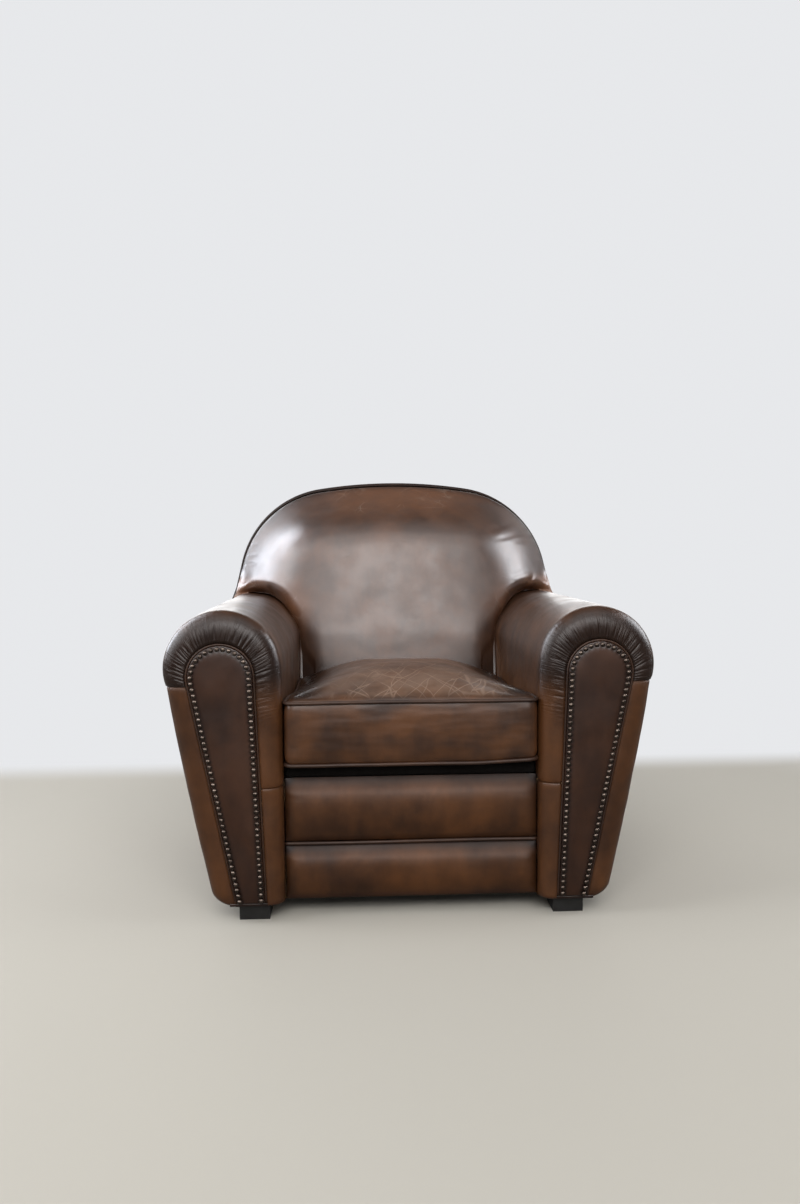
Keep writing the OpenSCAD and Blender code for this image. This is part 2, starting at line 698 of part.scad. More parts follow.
// A nail's place and the direction out to the facing's edge, at a length along the row
nail_drop = drop_inset(facing_drop, nail_inset);
nail_ends = top_ends(nail_drop);
nail_in_l = norm(nail_ends[0] - nail_drop[2]);
nail_out_l = norm(nail_ends[1] - nail_drop[3]);
nail_a0 = tangent_a(nail_drop, -1) + 360;
nail_a1 = tangent_a(nail_drop, 1);
nail_arc_l = nail_drop[1] * (nail_a0 - nail_a1) * PI / 180;
nails_n = round((nail_in_l + nail_arc_l + nail_out_l) / nail_pitch);
function nail_place(s) = let (t = clamp((s - nail_in_l) / nail_arc_l), a = mix(nail_a0, nail_a1, t),
    n = [cos(a), sin(a)], on_arc = nail_drop[0] + nail_drop[1] * n)
    [s < nail_in_l ? mix(nail_drop[2], nail_ends[0], s / nail_in_l) : t < 1 ? on_arc
        : mix(nail_ends[1], nail_drop[3], (s - nail_in_l - nail_arc_l) / nail_out_l), n];
module nail() {
    r = nail_d / 2;
    ball_r = (r * r + nail_h * nail_h) / (2 * nail_h);
    rotate([90, 0, 0]) {
        intersection() {
            translate([0, 0, nail_h - ball_r]) sphere(ball_r);
            translate([-r, -r, 0]) cube([nail_d, nail_d, nail_h + over]);
        }
        translate([0, 0, -shank_l]) cylinder(d = shank_d, h = shank_l);
    }
}
// How far a nail's head is pressed into the facing
nail_sink = 0.5;
module facing_nails() {
    color("#8c7d6f") each_side() for (i = [0:nails_n - 1]) {
        place = nail_place((i + 0.5) * (nail_in_l + nail_arc_l + nail_out_l) / nails_n);
        p = place[0];
        reach = place[1] * (p - facing_mid);
        s = reach / (reach + nail_inset);
        rise = facing_edge_t + facing_crown * crown_share(s, facing_power);
        translate([p[0], board_y - rise + nail_sink, p[1]]) nail();
    }
}

// Back
// Shares of the lengths over which the edge changes from one of these to the next
notch_out_share = 0.9;
notch_up_share = 5;
back_pad_half = seat_half - 2 * arm_welt_r - gap;
back_pad_corner_r = 2 * border_t;
notch_z = arm_h + gap;
notch_top_z = arm_h + border_t;
// Angles round the arm's top at which the padding meets it and leaves it
arm_meet_a = 165;
arm_leave_a = 72;
function wall_share(p) = p[1] > notch_z + gap
    ? mix(wall_notch_share, wall_top_share, clamp((p[1] - arm_h) / (border_t * notch_up_share)))
    : mix(wall_seat_share, wall_notch_share,
        clamp((abs(p[0]) - back_pad_half) / (arm_w * notch_out_share)));
function pad_shoulder(a) = shoulder_c + (shoulder_r - back_welt_r) * [cos(a), sin(a)];
function back_pad_half_outline() = let (r = back_pad_corner_r, z = deck_z + gap,
    x = back_pad_half, rise = [back_x(notch_top_z, back_welt_r), notch_top_z])
    concat([[0, z], [x / 3, z], [x * 2 / 3, z]], arc([x - r, z + r], r, -90, 0, 3),
        [for (i = [1:4]) [x, mix(z + r, arm_c[1], i / 4)]],
        arc(arm_c, arm_r + 2 * gap, arm_meet_a, arm_leave_a, 9),
        [[back_x(arm_h, border_t), notch_z], rise],
        [for (i = [1:2]) mix(rise, pad_shoulder(flare_a), i / 3)],
        [for (i = [0:9]) pad_shoulder(mix(flare_a, shoulder_top_a, i / 9))],
        [for (i = [1:3]) let (a = mix(shoulder_top_a, 90, i / 3))
            top_c + (back_top_r - back_welt_r) * [cos(a), sin(a)]]);
module inside_back() {
    half = back_pad_half_outline();
    outline = concat(half, [for (i = [len(half) - 2:-1:1]) [-half[i][0], half[i][1]]]);
    c = [0, back_crown_z];
    function pad_point(p, s, h) = let (q = c + s * (p - c), wall = wall_share(p),
        rise = h * mix(wall, 1, crown_share(s, back_power)))
        [q[0], rear_y(q[1]) - pad_rear_run - pad_depth(q[1]) * rise, q[1]];
    n = 8;
    color(leather) skin(concat([[for (p = outline) pad_point(p, 1, 0)]],
        [for (k = [0:n]) let (s = ring_share(k / n, back_power)) [for (p = outline) pad_point(p, s, 1)]]));
}
// The whole rear outline, carried straight down past the underside
function rear_outline(d) = let (half = rear_half(d), foot = half[0], low = [foot[0], -frame_front_t])
    whole(concat([low], half));
module back_border() {
    color(leather) above_base() difference() {
        back_board(rear_outline(border_inset));
        leaned() along_y(-frame_front_t - over, -back_panel_t + over)
            polygon(in_plane(rear_outline(border_inset + border_t)));
    }
}
module outside_back() {
    color(leather) leaned() along_y(-back_panel_t, 0)
        polygon(in_plane(whole(rear_half(2 * back_welt_r + gap))));
}
module back_welt() {
    path = in_plane(whole(rear_half(back_welt_r)));
    color(dark_leather) leaned() tube([for (p = path) [p[0], -back_welt_r, p[1]]], back_welt_r);
}
module inside_arm_welts() {
    function edge_y(z) = rear_y(z) - pad_rear_run - pad_depth(z) * wall_seat_share + arm_welt_r;
    x = seat_half - arm_welt_r - gap / 2;
    low = [x, edge_y(top_piping_z), top_piping_z];
    high = [x, edge_y(arm_c[1]), arm_c[1]];
    v = high - low;
    color(worn_leather) each_side() translate(low) rotate([-atan2(v[1], v[2]), 0, 0])
        cylinder(r = arm_welt_r, h = norm(v));
}

// Seat front
function box_outline(x0, x1, z0, z1, r, n) = let (c = [[x1 - r, z0 + r], [x1 - r, z1 - r],
    [x0 + r, z1 - r], [x0 + r, z0 + r]]) [for (k = [0:3]) let (a0 = k * 90 - 90,
        from = c[k] + r * [cos(a0 + 90), sin(a0 + 90)],
        to = c[(k + 1) % 4] + r * [cos(a0 + 90), sin(a0 + 90)])
        each concat(arc(c[k], r, a0, a0 + 90, 3), [for (i = [1:n]) mix(from, to, i / (n + 1))])];
module front_roll(z0, z1) {
    color(worn_leather) skin(pad_rings(box_outline(-roll_half_w, roll_half_w, z0, z1, roll_edge_t, 8),
        [0, (z0 + z1) / 2], roll_y, roll_edge_t, roll_crown, roll_power, 6));
}
module front_roll_upper() {
    front_roll(front_welt_z + piping_r + gap, border_top_z);
}
module front_roll_lower() {
    front_roll(base_z, front_welt_z - piping_r - gap);
}
module front_welt() {
    color(dark_leather) translate([-roll_half_w, roll_y - piping_r - gap, front_welt_z])
        rotate([0, 90, 0]) cylinder(r = piping_r, h = 2 * roll_half_w);
}

// Seat cushion
// Outline seen from above, inside the piping's reach by d, with sides that draw in
function cushion_outline(d) = let (r = cushion_corner_r - d, x = cushion_half_w - d,
    y = cushion_d / 2 - d, c = [[x - r, r - y], [x - r, y - r], [r - x, y - r], [r - x, r - y]], n = 8)
    [for (k = [0:3]) let (a = k * 90, out = [cos(a), sin(a)],
        from = c[k] + r * out, to = c[(k + 1) % 4] + r * out)
        each concat(arc(c[k], r, a - 90, a, 4), [for (i = [1:n - 1])
            mix(from, to, i / n) - cushion_draw * sin(180 * i / n) * out])];
function at_height(points, z) = [for (p = points) [p[0], p[1] + cushion_mid_y, z]];
// The point of the cushion's inscribed oval in the direction of an outline point
function oval_point(p) = p / norm([p[0] / (cushion_half_w - cushion_groove),
    p[1] / (cushion_d / 2 - cushion_groove)]);
module seat_cushion() {
    groove = cushion_outline(cushion_groove);
    side = cushion_outline(cushion_side_inset);
    bulge = cushion_outline(cushion_side_inset - cushion_bulge);
    crown_n = 9;
    color(leather) skin(concat(
        [at_height(groove, cushion_z), at_height(groove, low_piping_z + piping_r),
            at_height(side, low_piping_z + 2 * piping_r), at_height(bulge, zip_z),
            at_height(side, top_piping_z - 2 * piping_r), at_height(groove, top_piping_z - piping_r),
            at_height(groove, top_piping_z + piping_r)],
        [for (k = [1:crown_n]) let (s = ring_share(k / crown_n, cushion_power))
            at_height([for (p = groove) s * mix(oval_point(p), p, s * s)], top_piping_z + piping_r
                + (cushion_crown - piping_r) * crown_share(s, cushion_power))]));
}
module cushion_piping() {
    color(dark_leather) for (z = [low_piping_z, top_piping_z])
        tube(at_height(cushion_outline(piping_r), z), piping_r, closed = true);
}
// The zip follows the drawn-in rear side of the cushion
function zip_edge(y) = [for (i = [0:zip_steps]) let (x = mix(-zip_l / 2, zip_l / 2, i / zip_steps))
    [x, y - cushion_draw * cos(90 * x / (cushion_half_w - cushion_corner_r))]];
module zip_tape() {
    rear = zip_edge(zip_y + zip_t);
    color(black_cloth) translate([0, 0, zip_z - zip_w / 2]) linear_extrude(zip_w)
        polygon(concat(zip_edge(zip_y), [for (i = [zip_steps:-1:0]) rear[i]]));
}
module zip_slider() {
    color("#b5a06a") translate([-zip_l / 2 + slider_size[0] / 2, zip_y + zip_t + gap, zip_z])
        translate([-slider_size[0] / 2, 0, -slider_size[2] / 2]) cube(slider_size);
}

front_lower_rail();
front_seat_rail();
side_lower_rail(-1);  // side_lower_rail_left
side_lower_rail(1);  // side_lower_rail_right
side_seat_rail(-1);  // side_seat_rail_left
side_seat_rail(1);  // side_seat_rail_right
front_post(-1);  // front_post_left
front_post(1);  // front_post_right
arm_front_board(-1);  // arm_front_board_left
arm_front_board(1);  // arm_front_board_right
arm_top_rail(-1);  // arm_top_rail_left
arm_top_rail(1);  // arm_top_rail_right
arm_stay_rail(-1);  // arm_stay_rail_left
arm_stay_rail(1);  // arm_stay_rail_right
rear_post(-1);  // rear_post_left
rear_post(1);  // rear_post_right
back_lower_rail();
back_seat_rail();
back_stay_rail();
back_shoulder(-1);  // back_shoulder_left
back_shoulder(1);  // back_shoulder_right
back_top_rail();
corner_blocks();
seat_straps_long();
seat_straps_cross();
back_straps();
seat_deck();
dust_cover();
foot(-1, foot_front_y, bolt_front_y);  // foot_front_left
foot(1, foot_front_y, bolt_front_y);  // foot_front_right
foot(-1, foot_rear_y, bolt_rear_y);  // foot_rear_left
foot(1, foot_rear_y, bolt_rear_y);  // foot_rear_right
foot_bolts();
inside_arm(-1);  // inside_arm_left
inside_arm(1);  // inside_arm_right
arm_roll(-1);  // arm_roll_left
arm_roll(1);  // arm_roll_right
arm_liners();
outside_arm(-1);  // outside_arm_left
outside_arm(1);  // outside_arm_right
gathered_band(-1);  // gathered_band_left
gathered_band(1);  // gathered_band_right
arm_front_strips();
facing(-1);  // facing_left
facing(1);  // facing_right
facing_piping();
facing_nails();
inside_arm_welts();
inside_back();
back_border();
outside_back();
back_welt();
front_roll_upper();
front_roll_lower();
front_welt();
seat_cushion();
cushion_piping();
zip_tape();
zip_slider();
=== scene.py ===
import json
import math

import bmesh
import bpy
import numpy as np
from mathutils import Matrix, Vector, noise


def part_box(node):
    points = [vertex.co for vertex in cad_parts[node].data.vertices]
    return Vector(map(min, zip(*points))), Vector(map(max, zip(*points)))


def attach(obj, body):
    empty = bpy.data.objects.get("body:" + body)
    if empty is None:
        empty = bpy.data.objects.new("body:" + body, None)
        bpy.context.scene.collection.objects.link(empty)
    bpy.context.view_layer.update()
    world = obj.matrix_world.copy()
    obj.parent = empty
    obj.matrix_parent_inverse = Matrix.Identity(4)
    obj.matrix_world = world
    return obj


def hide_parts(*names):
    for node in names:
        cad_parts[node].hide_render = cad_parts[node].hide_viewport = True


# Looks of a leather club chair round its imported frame. The shapes are worked out in
# millimetres, in the chair's own frame, and turned into metres when a mesh is made.
MM = 0.001

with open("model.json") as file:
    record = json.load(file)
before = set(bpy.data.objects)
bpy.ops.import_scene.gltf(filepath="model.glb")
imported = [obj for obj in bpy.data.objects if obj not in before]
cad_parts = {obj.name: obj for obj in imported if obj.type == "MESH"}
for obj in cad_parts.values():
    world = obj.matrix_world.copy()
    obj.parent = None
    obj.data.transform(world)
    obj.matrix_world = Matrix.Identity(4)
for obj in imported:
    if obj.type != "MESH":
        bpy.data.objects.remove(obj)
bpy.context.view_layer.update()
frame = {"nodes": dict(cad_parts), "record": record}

# The chair's sizes, as its solids have them
SEAT_HALF = 236.0
ARM_C, ARM_R = np.array([343.0, 467.0]), 107.0
ARM_LOW_OUT = np.array([366.0, 31.0])
FACING_C, FACING_R = np.array([345.0, 453.0]), 58.0
FACING_LOW_IN, FACING_LOW_OUT = np.array([271.0, 38.0]), np.array([321.0, 38.0])
FACING_MID = np.array([320.5, 266.25])
BASE_Z, ARM_TOP_Z = 31.0, 574.0
ROLL_REAR_Y, ROLL_FRONT_Y, BOARD_Y = -392.0, -422.3, -418.0
OUTER_SEAM_Z, INNER_SEAM_Z = 438.0, 250.0
REAR_Y, TOP_Z, LEAN = 430.0, 848.0, math.radians(5.9)
BACK_PANEL, BACK_FRAME = 10.0, 40.0
TOP_R, SHOULDER_R, SHOULDER_X = 1260.0, 252.0, 156.0
PIPING_R, FACING_PIPING_R, WELT_R = 3.5, 2.0, 3.5
NAIL_INSET, NAIL_PITCH, NAIL_R = 6.0, 11.0, 4.5
DECK_Z, CUSHION_LOW_Z, CUSHION_TOP_Z = 285.0, 288.8, 403.8
CUSHION_FRONT_Y, CUSHION_REAR_Y, CUSHION_HALF = -420.0, 78.6, 235.0
LEATHER_T = 5.0


def hand(side):
    return "left" if side < 0 else "right"


def rear_y(z):
    """The outside back's rear plane at a height."""
    return REAR_Y - (TOP_Z - z) * math.tan(LEAN)


def panel_y(z):
    """Where the leather of an arm ends, just ahead of the outside back."""
    return rear_y(z) - BACK_PANEL / math.cos(LEAN) - 1


def mix(a, b, t):
    return a + (b - a) * t


def smooth(t):
    t = np.clip(t, 0, 1)
    return t * t * (3 - 2 * t)


def bell(t):
    return np.exp(-t ** 2)


def crown(s, power):
    return (1 - np.clip(s, 0, 1) ** power) ** (1 / power)


def units(degrees):
    """Unit vectors at angles in degrees."""
    a = np.radians(degrees)
    return np.stack([np.cos(a), np.sin(a)], -1)


def arc(c, r, a0, a1, n):
    """n + 1 points on an arc, in degrees."""
    return np.array(c) + r * units(np.linspace(a0, a1, n + 1))


def line(p, q, n, last=True):
    t = np.linspace(0, 1, n + 1)[:, None]
    return mix(np.array(p), np.array(q), t if last else t[:-1])


def tangent(c, r, p, side):
    """Angle at which a line from p touches the circle, on its inner or outer side."""
    v = np.array(p) - np.array(c)
    return math.degrees(math.atan2(v[1], v[0]) + side * math.acos(r / math.hypot(*v)))


def lengths_of(path):
    return np.append(0, np.cumsum(np.linalg.norm(np.diff(path, axis=0), axis=1)))


def spaced(path, places):
    """Points of a path at given lengths along it."""
    s = lengths_of(path)
    return np.stack([np.interp(places, s, path[:, k]) for k in (0, 1)], 1)


def even(path, n):
    """n points at even lengths along a closed outline."""
    loop = np.vstack([path, path[:1]])
    return spaced(loop, np.linspace(0, lengths_of(loop)[-1], n, endpoint=False))


def whole(half, stop=None):
    """Both halves of an outline that ends on the middle line, and with stop 0 starts there."""
    return np.vstack([half, half[-2:stop:-1] * [-1, 1]])


def gap_to(points, path):
    """Distance of each point to a path of points, all in one plane."""
    out = np.empty(len(points))
    for i in range(0, len(points), 4000):
        out[i:i + 4000] = np.linalg.norm(points[i:i + 4000, None] - path[None], axis=2).min(1)
    return out


def waves(points, size, seed=0.0, octaves=3):
    """Smooth noise at points in millimetres, from about -1 to 1."""
    flat = np.asarray(points, float).reshape(-1, 3) / size + seed
    out = [noise.fractal(Vector(p), 0.9, 2.0, octaves) for p in flat]
    return np.array(out).reshape(np.asarray(points).shape[:-1])


# Meshes

def add_object(name, data):
    thing = bpy.data.objects.new(name, data)
    bpy.context.scene.collection.objects.link(thing)
    return thing


def paint(mesh, looks):
    """Keeps each look, from 0 to 1 at every vertex, for the materials to read."""
    for key, values in looks.items():
        mesh.attributes.new(key, "FLOAT", "POINT").data.foreach_set(
            "value", np.clip(values, 0, 1).astype(np.float32).ravel())


def make_piece(name, verts, faces, looks):
    mesh = bpy.data.meshes.new(name)
    mesh.from_pydata((np.asarray(verts) * MM).tolist(), [], faces)
    mesh.update()
    bm = bmesh.new()
    bm.from_mesh(mesh)
    bmesh.ops.recalc_face_normals(bm, faces=bm.faces)
    bm.to_mesh(mesh)
    bm.free()
    mesh.shade_smooth()
    paint(mesh, looks)
    return add_object(name, mesh)


def from_rings(name, rings, looks=None, closed=False):
    """A closed mesh over rings of equal length, with fans at its ends unless it closes on itself."""
    rings = np.asarray(rings, float)
    m, n = rings.shape[:2]
    i, j = np.arange(n), np.arange(m if closed else m - 1)[:, None]
    after, up = (i + 1) % n, (j + 1) % m * n
    faces = np.stack([j * n + i, j * n + after, up + after, up + i], -1).reshape(-1, 4).tolist()
    verts = rings.reshape(-1, 3)
    looks = {k: np.broadcast_to(v, (m, n)).ravel() for k, v in (looks or {}).items()}
    for ring in () if closed else (0, m - 1):
        faces += [[ring * n + k, ring * n + (k + 1) % n, len(verts)] for k in range(n)]
        verts = np.vstack([verts, rings[ring].mean(0)])
        looks = {k: np.append(v, v[ring * n:(ring + 1) * n].mean()) for k, v in looks.items()}
    return make_piece(name, verts, faces, looks)


def tube(name, path, r, closed=False, sides=12):
    """A round tube along a path of points in millimetres."""
    path = np.asarray(path, float)
    heading = np.roll(path, -1, 0) - np.roll(path, 1, 0) if closed else np.gradient(path, axis=0)
    heading /= np.linalg.norm(heading, axis=1)[:, None]
    side = np.array([0.0, 0.3, 1.0] if abs(heading[0][2]) < 0.9 else [0.0, 1.0, 0.0])
    round_it = r * units(np.arange(sides) * 360 / sides)
    rings = []
    for p, t in zip(path, heading):
        side = side - t * side.dot(t)
        side /= np.linalg.norm(side)
        rings.append(p + round_it @ np.stack([side, np.cross(t, side)]))
    return from_rings(name, rings, closed=closed)


def mirrored(points, side):
    return np.array(points, float) * [side, 1, 1]


def outfit(piece, material, nodes, fill=None, body="chair", slot=None):
    piece.data.materials.append(MATERIALS[material])
    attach(piece, body)
    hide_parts(*nodes)


def dress(name, rings, material, nodes, fill=None, looks=None, **more):
    outfit(from_rings(name, rings, looks), material, nodes, fill, **more)


def cord(name, path, r, node, material="leather_welt", closed=False, sides=12, **more):
    outfit(tube(name, path, r, closed, sides), material, [node], **more)


# Materials

class Nodes:
    """Short calls for building one material's nodes."""

    def __init__(self, name):
        self.material = bpy.data.materials.new(name)
        self.material.use_nodes = True
        self.tree = self.material.node_tree
        self.shader = self.tree.nodes["Principled BSDF"]
        self.coords = self.add("TexCoord", "Object")

    def set(self, node, key, value):
        if isinstance(value, bpy.types.NodeSocket):
            self.tree.links.new(value, node.inputs[key])
        else:
            node.inputs[key].default_value = value

    def add(self, kind, output, inputs=None, **settings):
        """One output of a new node."""
        node = self.tree.nodes.new("ShaderNode" + kind)
        for key, value in settings.items():
            setattr(node, key, value)
        for key, value in (inputs or {}).items():
            self.set(node, key, value)
        return node.outputs[output]

    def noise(self, scale, detail=4.0, roughness=0.6, coords=None, distortion=0.0):
        return self.add("TexNoise", "Fac", {
            "Vector": coords or self.coords, "Scale": scale, "Detail": detail,
            "Roughness": roughness, "Distortion": distortion})

    def voronoi(self, scale, feature="DISTANCE_TO_EDGE", coords=None, randomness=1.0):
        return self.add("TexVoronoi", "Distance", {
            "Vector": coords or self.coords, "Scale": scale, "Randomness": randomness},
            feature=feature)

    def stretched(self, x, y, z, coords=None):
        return self.add("Mapping", "Vector", {"Vector": coords or self.coords, "Scale": (x, y, z)})

    def turned(self, degrees, coords):
        """The coordinates, turned about the upright axis."""
        turn = (0, 0, math.radians(degrees))
        return self.add("Mapping", "Vector", {"Vector": coords, "Rotation": turn})

    def warped(self, scale, amount):
        """The coordinates, pushed about by smooth noise."""
        push = self.add("TexNoise", "Color", {"Vector": self.coords, "Scale": scale})
        push = self.add("VectorMath", "Vector", {0: push, 1: (0.5, 0.5, 0.5)}, operation="SUBTRACT")
        push = self.add("VectorMath", "Vector", {0: push, "Scale": amount}, operation="SCALE")
        return self.add("VectorMath", "Vector", {0: self.coords, 1: push}, operation="ADD")

    def math(self, operation, a, b, clamp=False):
        return self.add("Math", "Value", {0: a, 1: b}, operation=operation, use_clamp=clamp)

    def times(self, a, b, clamp=False):
        return self.math("MULTIPLY", a, b, clamp)

    def plus(self, a, b, clamp=False):
        return self.math("ADD", a, b, clamp)

    def spread(self, value, low, high, to_low=0.0, to_high=1.0):
        return self.add("MapRange", "Result", {
            "Value": value, "From Min": low, "From Max": high, "To Min": to_low, "To Max": to_high},
            interpolation_type="SMOOTHSTEP")

    def blend(self, fac, a, b):
        a, b = (c if isinstance(c, bpy.types.NodeSocket) else (*c, 1) for c in (a, b))
        return self.add("Mix", 2, {0: fac, 6: a, 7: b}, data_type="RGBA")

    def attribute(self, name):
        return self.add("Attribute", "Fac", attribute_name=name)

    def bump(self, height, strength, distance, normal=None):
        inputs = {"Height": height, "Strength": strength, "Distance": distance}
        if normal:
            inputs["Normal"] = normal
        return self.add("Bump", "Normal", inputs)

    def finish(self, **inputs):
        for key, value in inputs.items():
            self.set(self.shader, key.replace("_", " "), value)
        return self.material


DEEP, WARM = (0.037, 0.0152, 0.0072), (0.106, 0.0405, 0.0138)
# PALE is worn, bare leather. The near-black tone is mostly painted shade, and partly the blackened wax
# on the handled arm bands
PALE, SHADE_AND_BLACKENED = (0.27, 0.174, 0.120), (0.0085, 0.0045, 0.0036)


def scratched(n, colour, wear_and_painted_light, strength):
    """A few pale scratches where the leather is worn, and the height they are cut by."""
    bent = n.warped(7, 0.16)
    lines = n.math("MINIMUM", n.voronoi(9.5, coords=bent),
                   n.voronoi(23, coords=n.stretched(1, 1, 0.45, bent)))
    thin = n.times(n.spread(lines, 0.004, 0.026, 1, 0), n.spread(n.noise(13, 3), 0.44, 0.64))
    thin = n.times(thin, n.spread(wear_and_painted_light, 0.3, 0.8))
    return n.blend(n.times(thin, strength, True), colour, PALE), thin


def crackled(n, colour, strength):
    """Long pale creases that cross in two directions on the worn middle of the cushion."""
    bent = n.warped(8, 0.035)
    patchy = n.spread(n.noise(13, 3), 0.32, 0.5)
    webs = []
    for turn, cell in ((24, 31), (-29, 27)):
        leaning = n.stretched(cell, cell / 9, cell / 9, n.turned(turn, bent))
        edge = n.voronoi(1.0, coords=leaning, randomness=0.9)
        webs.append(n.spread(edge, 0.004, 0.03, 1, 0))
    web = n.times(n.times(n.math("MAXIMUM", *webs), patchy), n.attribute("net"))
    # Round the net the wax has worn to a pale taupe
    bare = n.times(n.attribute("net"), n.spread(n.noise(12, 4, 0.6), 0.3, 0.62, 0.1, 0.5))
    return n.blend(n.times(web, strength, True), n.blend(bare, colour, PALE), PALE), web


def pleats(n, normal):
    """Fine creases across the gathered band, from the lengths kept along and across it."""
    place = n.add("CombineXYZ", 0, {0: n.times(n.attribute("along"), 190.0),
                                    1: n.times(n.attribute("across"), 2.4)})
    folds = n.times(n.noise(1.0, 2, 0.5, place, 0.6), n.attribute("gathered"))
    return n.bump(folds, 0.5, 0.0018, normal)


def leather(name, deep=DEEP, warm=WARM, mottle=0.45, rough=(0.33, 0.45), coat=0.15,
            scratches=0.0, crackle=0.0, gathered=False, specular=0.42, uneven=1.0):
    """Waxed, worn leather. One look of the mesh lifts it to the warm brown below the wax where it
    is worn, and also paints light on places lit more. Another takes it to near black: painted shade
    in creases, seams, recesses and at edges turned from the light, and the blackened wax of the
    handled arm bands. Its dull look marks where it has no shine."""
    n = Nodes(name)
    wear_and_painted_light, painted_shade_and_blackened = n.attribute("wear_and_painted_light"), n.attribute("painted_shade_and_blackened")
    clouds = n.spread(n.noise(8, 4, 0.55, distortion=0.5), 0.36, 0.70, 0, mottle)
    drips = n.noise(1.0, 4, 0.55, n.stretched(24, 24, 6))
    drips = n.spread(drips, 0.32, 0.7, -0.12 * uneven, 0.18 * uneven)
    spots = n.spread(n.noise(34, 4, 0.6), 0.35, 0.7, -0.08 * uneven, 0.1 * uneven)
    # The warm lift is real wear, and in a few places painted light on parts lit more
    amount = n.plus(n.plus(clouds, n.times(wear_and_painted_light, 0.85)), n.plus(drips, spots), True)
    colour = n.blend(amount, deep, warm)
    height = None
    if scratches:
        colour, height = scratched(n, colour, wear_and_painted_light, scratches)
    if crackle:
        colour, height = crackled(n, colour, crackle)
    # Darkened to near black: painted shade in creases, seams, recesses and at edges turned from the
    # light, and the blackened wax of the arm bands
    colour = n.blend(n.times(painted_shade_and_blackened, 0.94, True), colour, SHADE_AND_BLACKENED)
    normal = n.bump(n.noise(42, 3, 0.5), 0.07, 0.003)
    if height:
        normal = n.bump(n.times(height, -1.0), 0.35, 0.0008, normal)
    roughness = n.spread(n.noise(15, 5, 0.6), 0.3, 0.7, *rough)
    roughness = n.math("SUBTRACT", roughness, n.times(painted_shade_and_blackened, 0.12))
    if gathered:
        normal = pleats(n, normal)
        roughness = n.math("SUBTRACT", roughness, n.times(n.attribute("gathered"), 0.06))
    grain = n.plus(n.voronoi(620, "SMOOTH_F1"), n.times(n.noise(1500, 2), 0.4))
    normal = n.bump(grain, 0.10, 0.0004, normal)
    roughness = n.plus(roughness, n.times(n.attribute("dull"), 0.4))
    return n.finish(Base_Color=colour, Roughness=roughness, Normal=normal, Coat_Weight=coat,
                    Coat_Roughness=0.27, Specular_IOR_Level=specular)


def wood(name, light, dark):
    n = Nodes(name)
    rings = n.noise(1.0, 5, 0.65, n.stretched(6, 90, 90), 1.2)
    pores = n.noise(1.0, 2, 0.5, n.stretched(24, 630, 630))
    return n.finish(Base_Color=n.blend(n.spread(rings, 0.3, 0.7), light, dark),
                    Roughness=n.spread(pores, 0.3, 0.7, 0.5, 0.7),
                    Normal=n.bump(pores, 0.2, 0.0006))


def cloth(name, colour, thread=900.0, specular=0.5):
    """Plain woven cloth, with threads along two directions."""
    n = Nodes(name)
    warp = n.noise(1.0, 1, 0.5, n.stretched(thread, thread / 14, thread / 14))
    weft = n.noise(1.0, 1, 0.5, n.stretched(thread / 14, thread, thread))
    weave = n.times(n.plus(warp, weft), 0.5)
    lighter = [c * 1.5 for c in colour]
    return n.finish(Base_Color=n.blend(n.spread(weave, 0.4, 0.6), colour, lighter),
                    Roughness=n.spread(n.noise(30, 2), 0.3, 0.7, 0.8, 0.95),
                    Normal=n.bump(weave, 0.5, 0.0005), Specular_IOR_Level=specular)


def metal(name, bright, tarnish, rough=(0.25, 0.5), scale=160.0):
    n = Nodes(name)
    spots = n.spread(n.noise(scale, 4, 0.6), 0.4, 0.62)
    return n.finish(Base_Color=n.blend(spots, bright, tarnish), Metallic=1.0,
                    Roughness=n.spread(n.noise(scale * 0.6, 3), 0.3, 0.7, *rough),
                    Normal=n.bump(n.noise(scale * 2.2, 2), 0.15, 0.0003))


def lacquer(name, colour):
    n = Nodes(name)
    paler = [c * 1.8 for c in colour]
    return n.finish(Base_Color=n.blend(n.spread(n.noise(25, 4), 0.4, 0.7), colour, paler),
                    Roughness=n.spread(n.noise(60, 3), 0.3, 0.7, 0.35, 0.55),
                    Normal=n.bump(n.noise(1.0, 2, 0.5, n.stretched(220, 220, 14)), 0.1, 0.0005))


MATERIALS = {}


def keep(kind, name, *args, **more):
    MATERIALS[name] = kind(name, *args, **more)


keep(wood, "plywood", (0.50, 0.36, 0.20), (0.36, 0.23, 0.12))
keep(wood, "timber", (0.42, 0.27, 0.14), (0.27, 0.16, 0.08))
keep(lacquer, "foot_black", (0.006, 0.0055, 0.005))
keep(metal, "bolt_steel", (0.55, 0.55, 0.56), (0.4, 0.4, 0.41))
keep(cloth, "webbing", (0.03, 0.028, 0.027), 600)
keep(cloth, "black_cloth", (0.0056, 0.0045, 0.0040), specular=0.1)
keep(metal, "nail_bronze", (0.095, 0.074, 0.061), (0.036, 0.027, 0.022), (0.24, 0.36))
keep(metal, "zip_brass", (0.5, 0.36, 0.15), (0.3, 0.2, 0.09), (0.2, 0.38))
keep(cloth, "zip_tape", (0.03, 0.018, 0.013), 700)
keep(leather, "leather_dark", (0.0220, 0.0086, 0.0047), (0.056, 0.0210, 0.0092), 0.5,
     coat=0.05, specular=0.24)
keep(leather, "leather_welt", (0.026, 0.0116, 0.0066), (0.062, 0.026, 0.0115),
     rough=(0.44, 0.56), coat=0.0, specular=0.22)
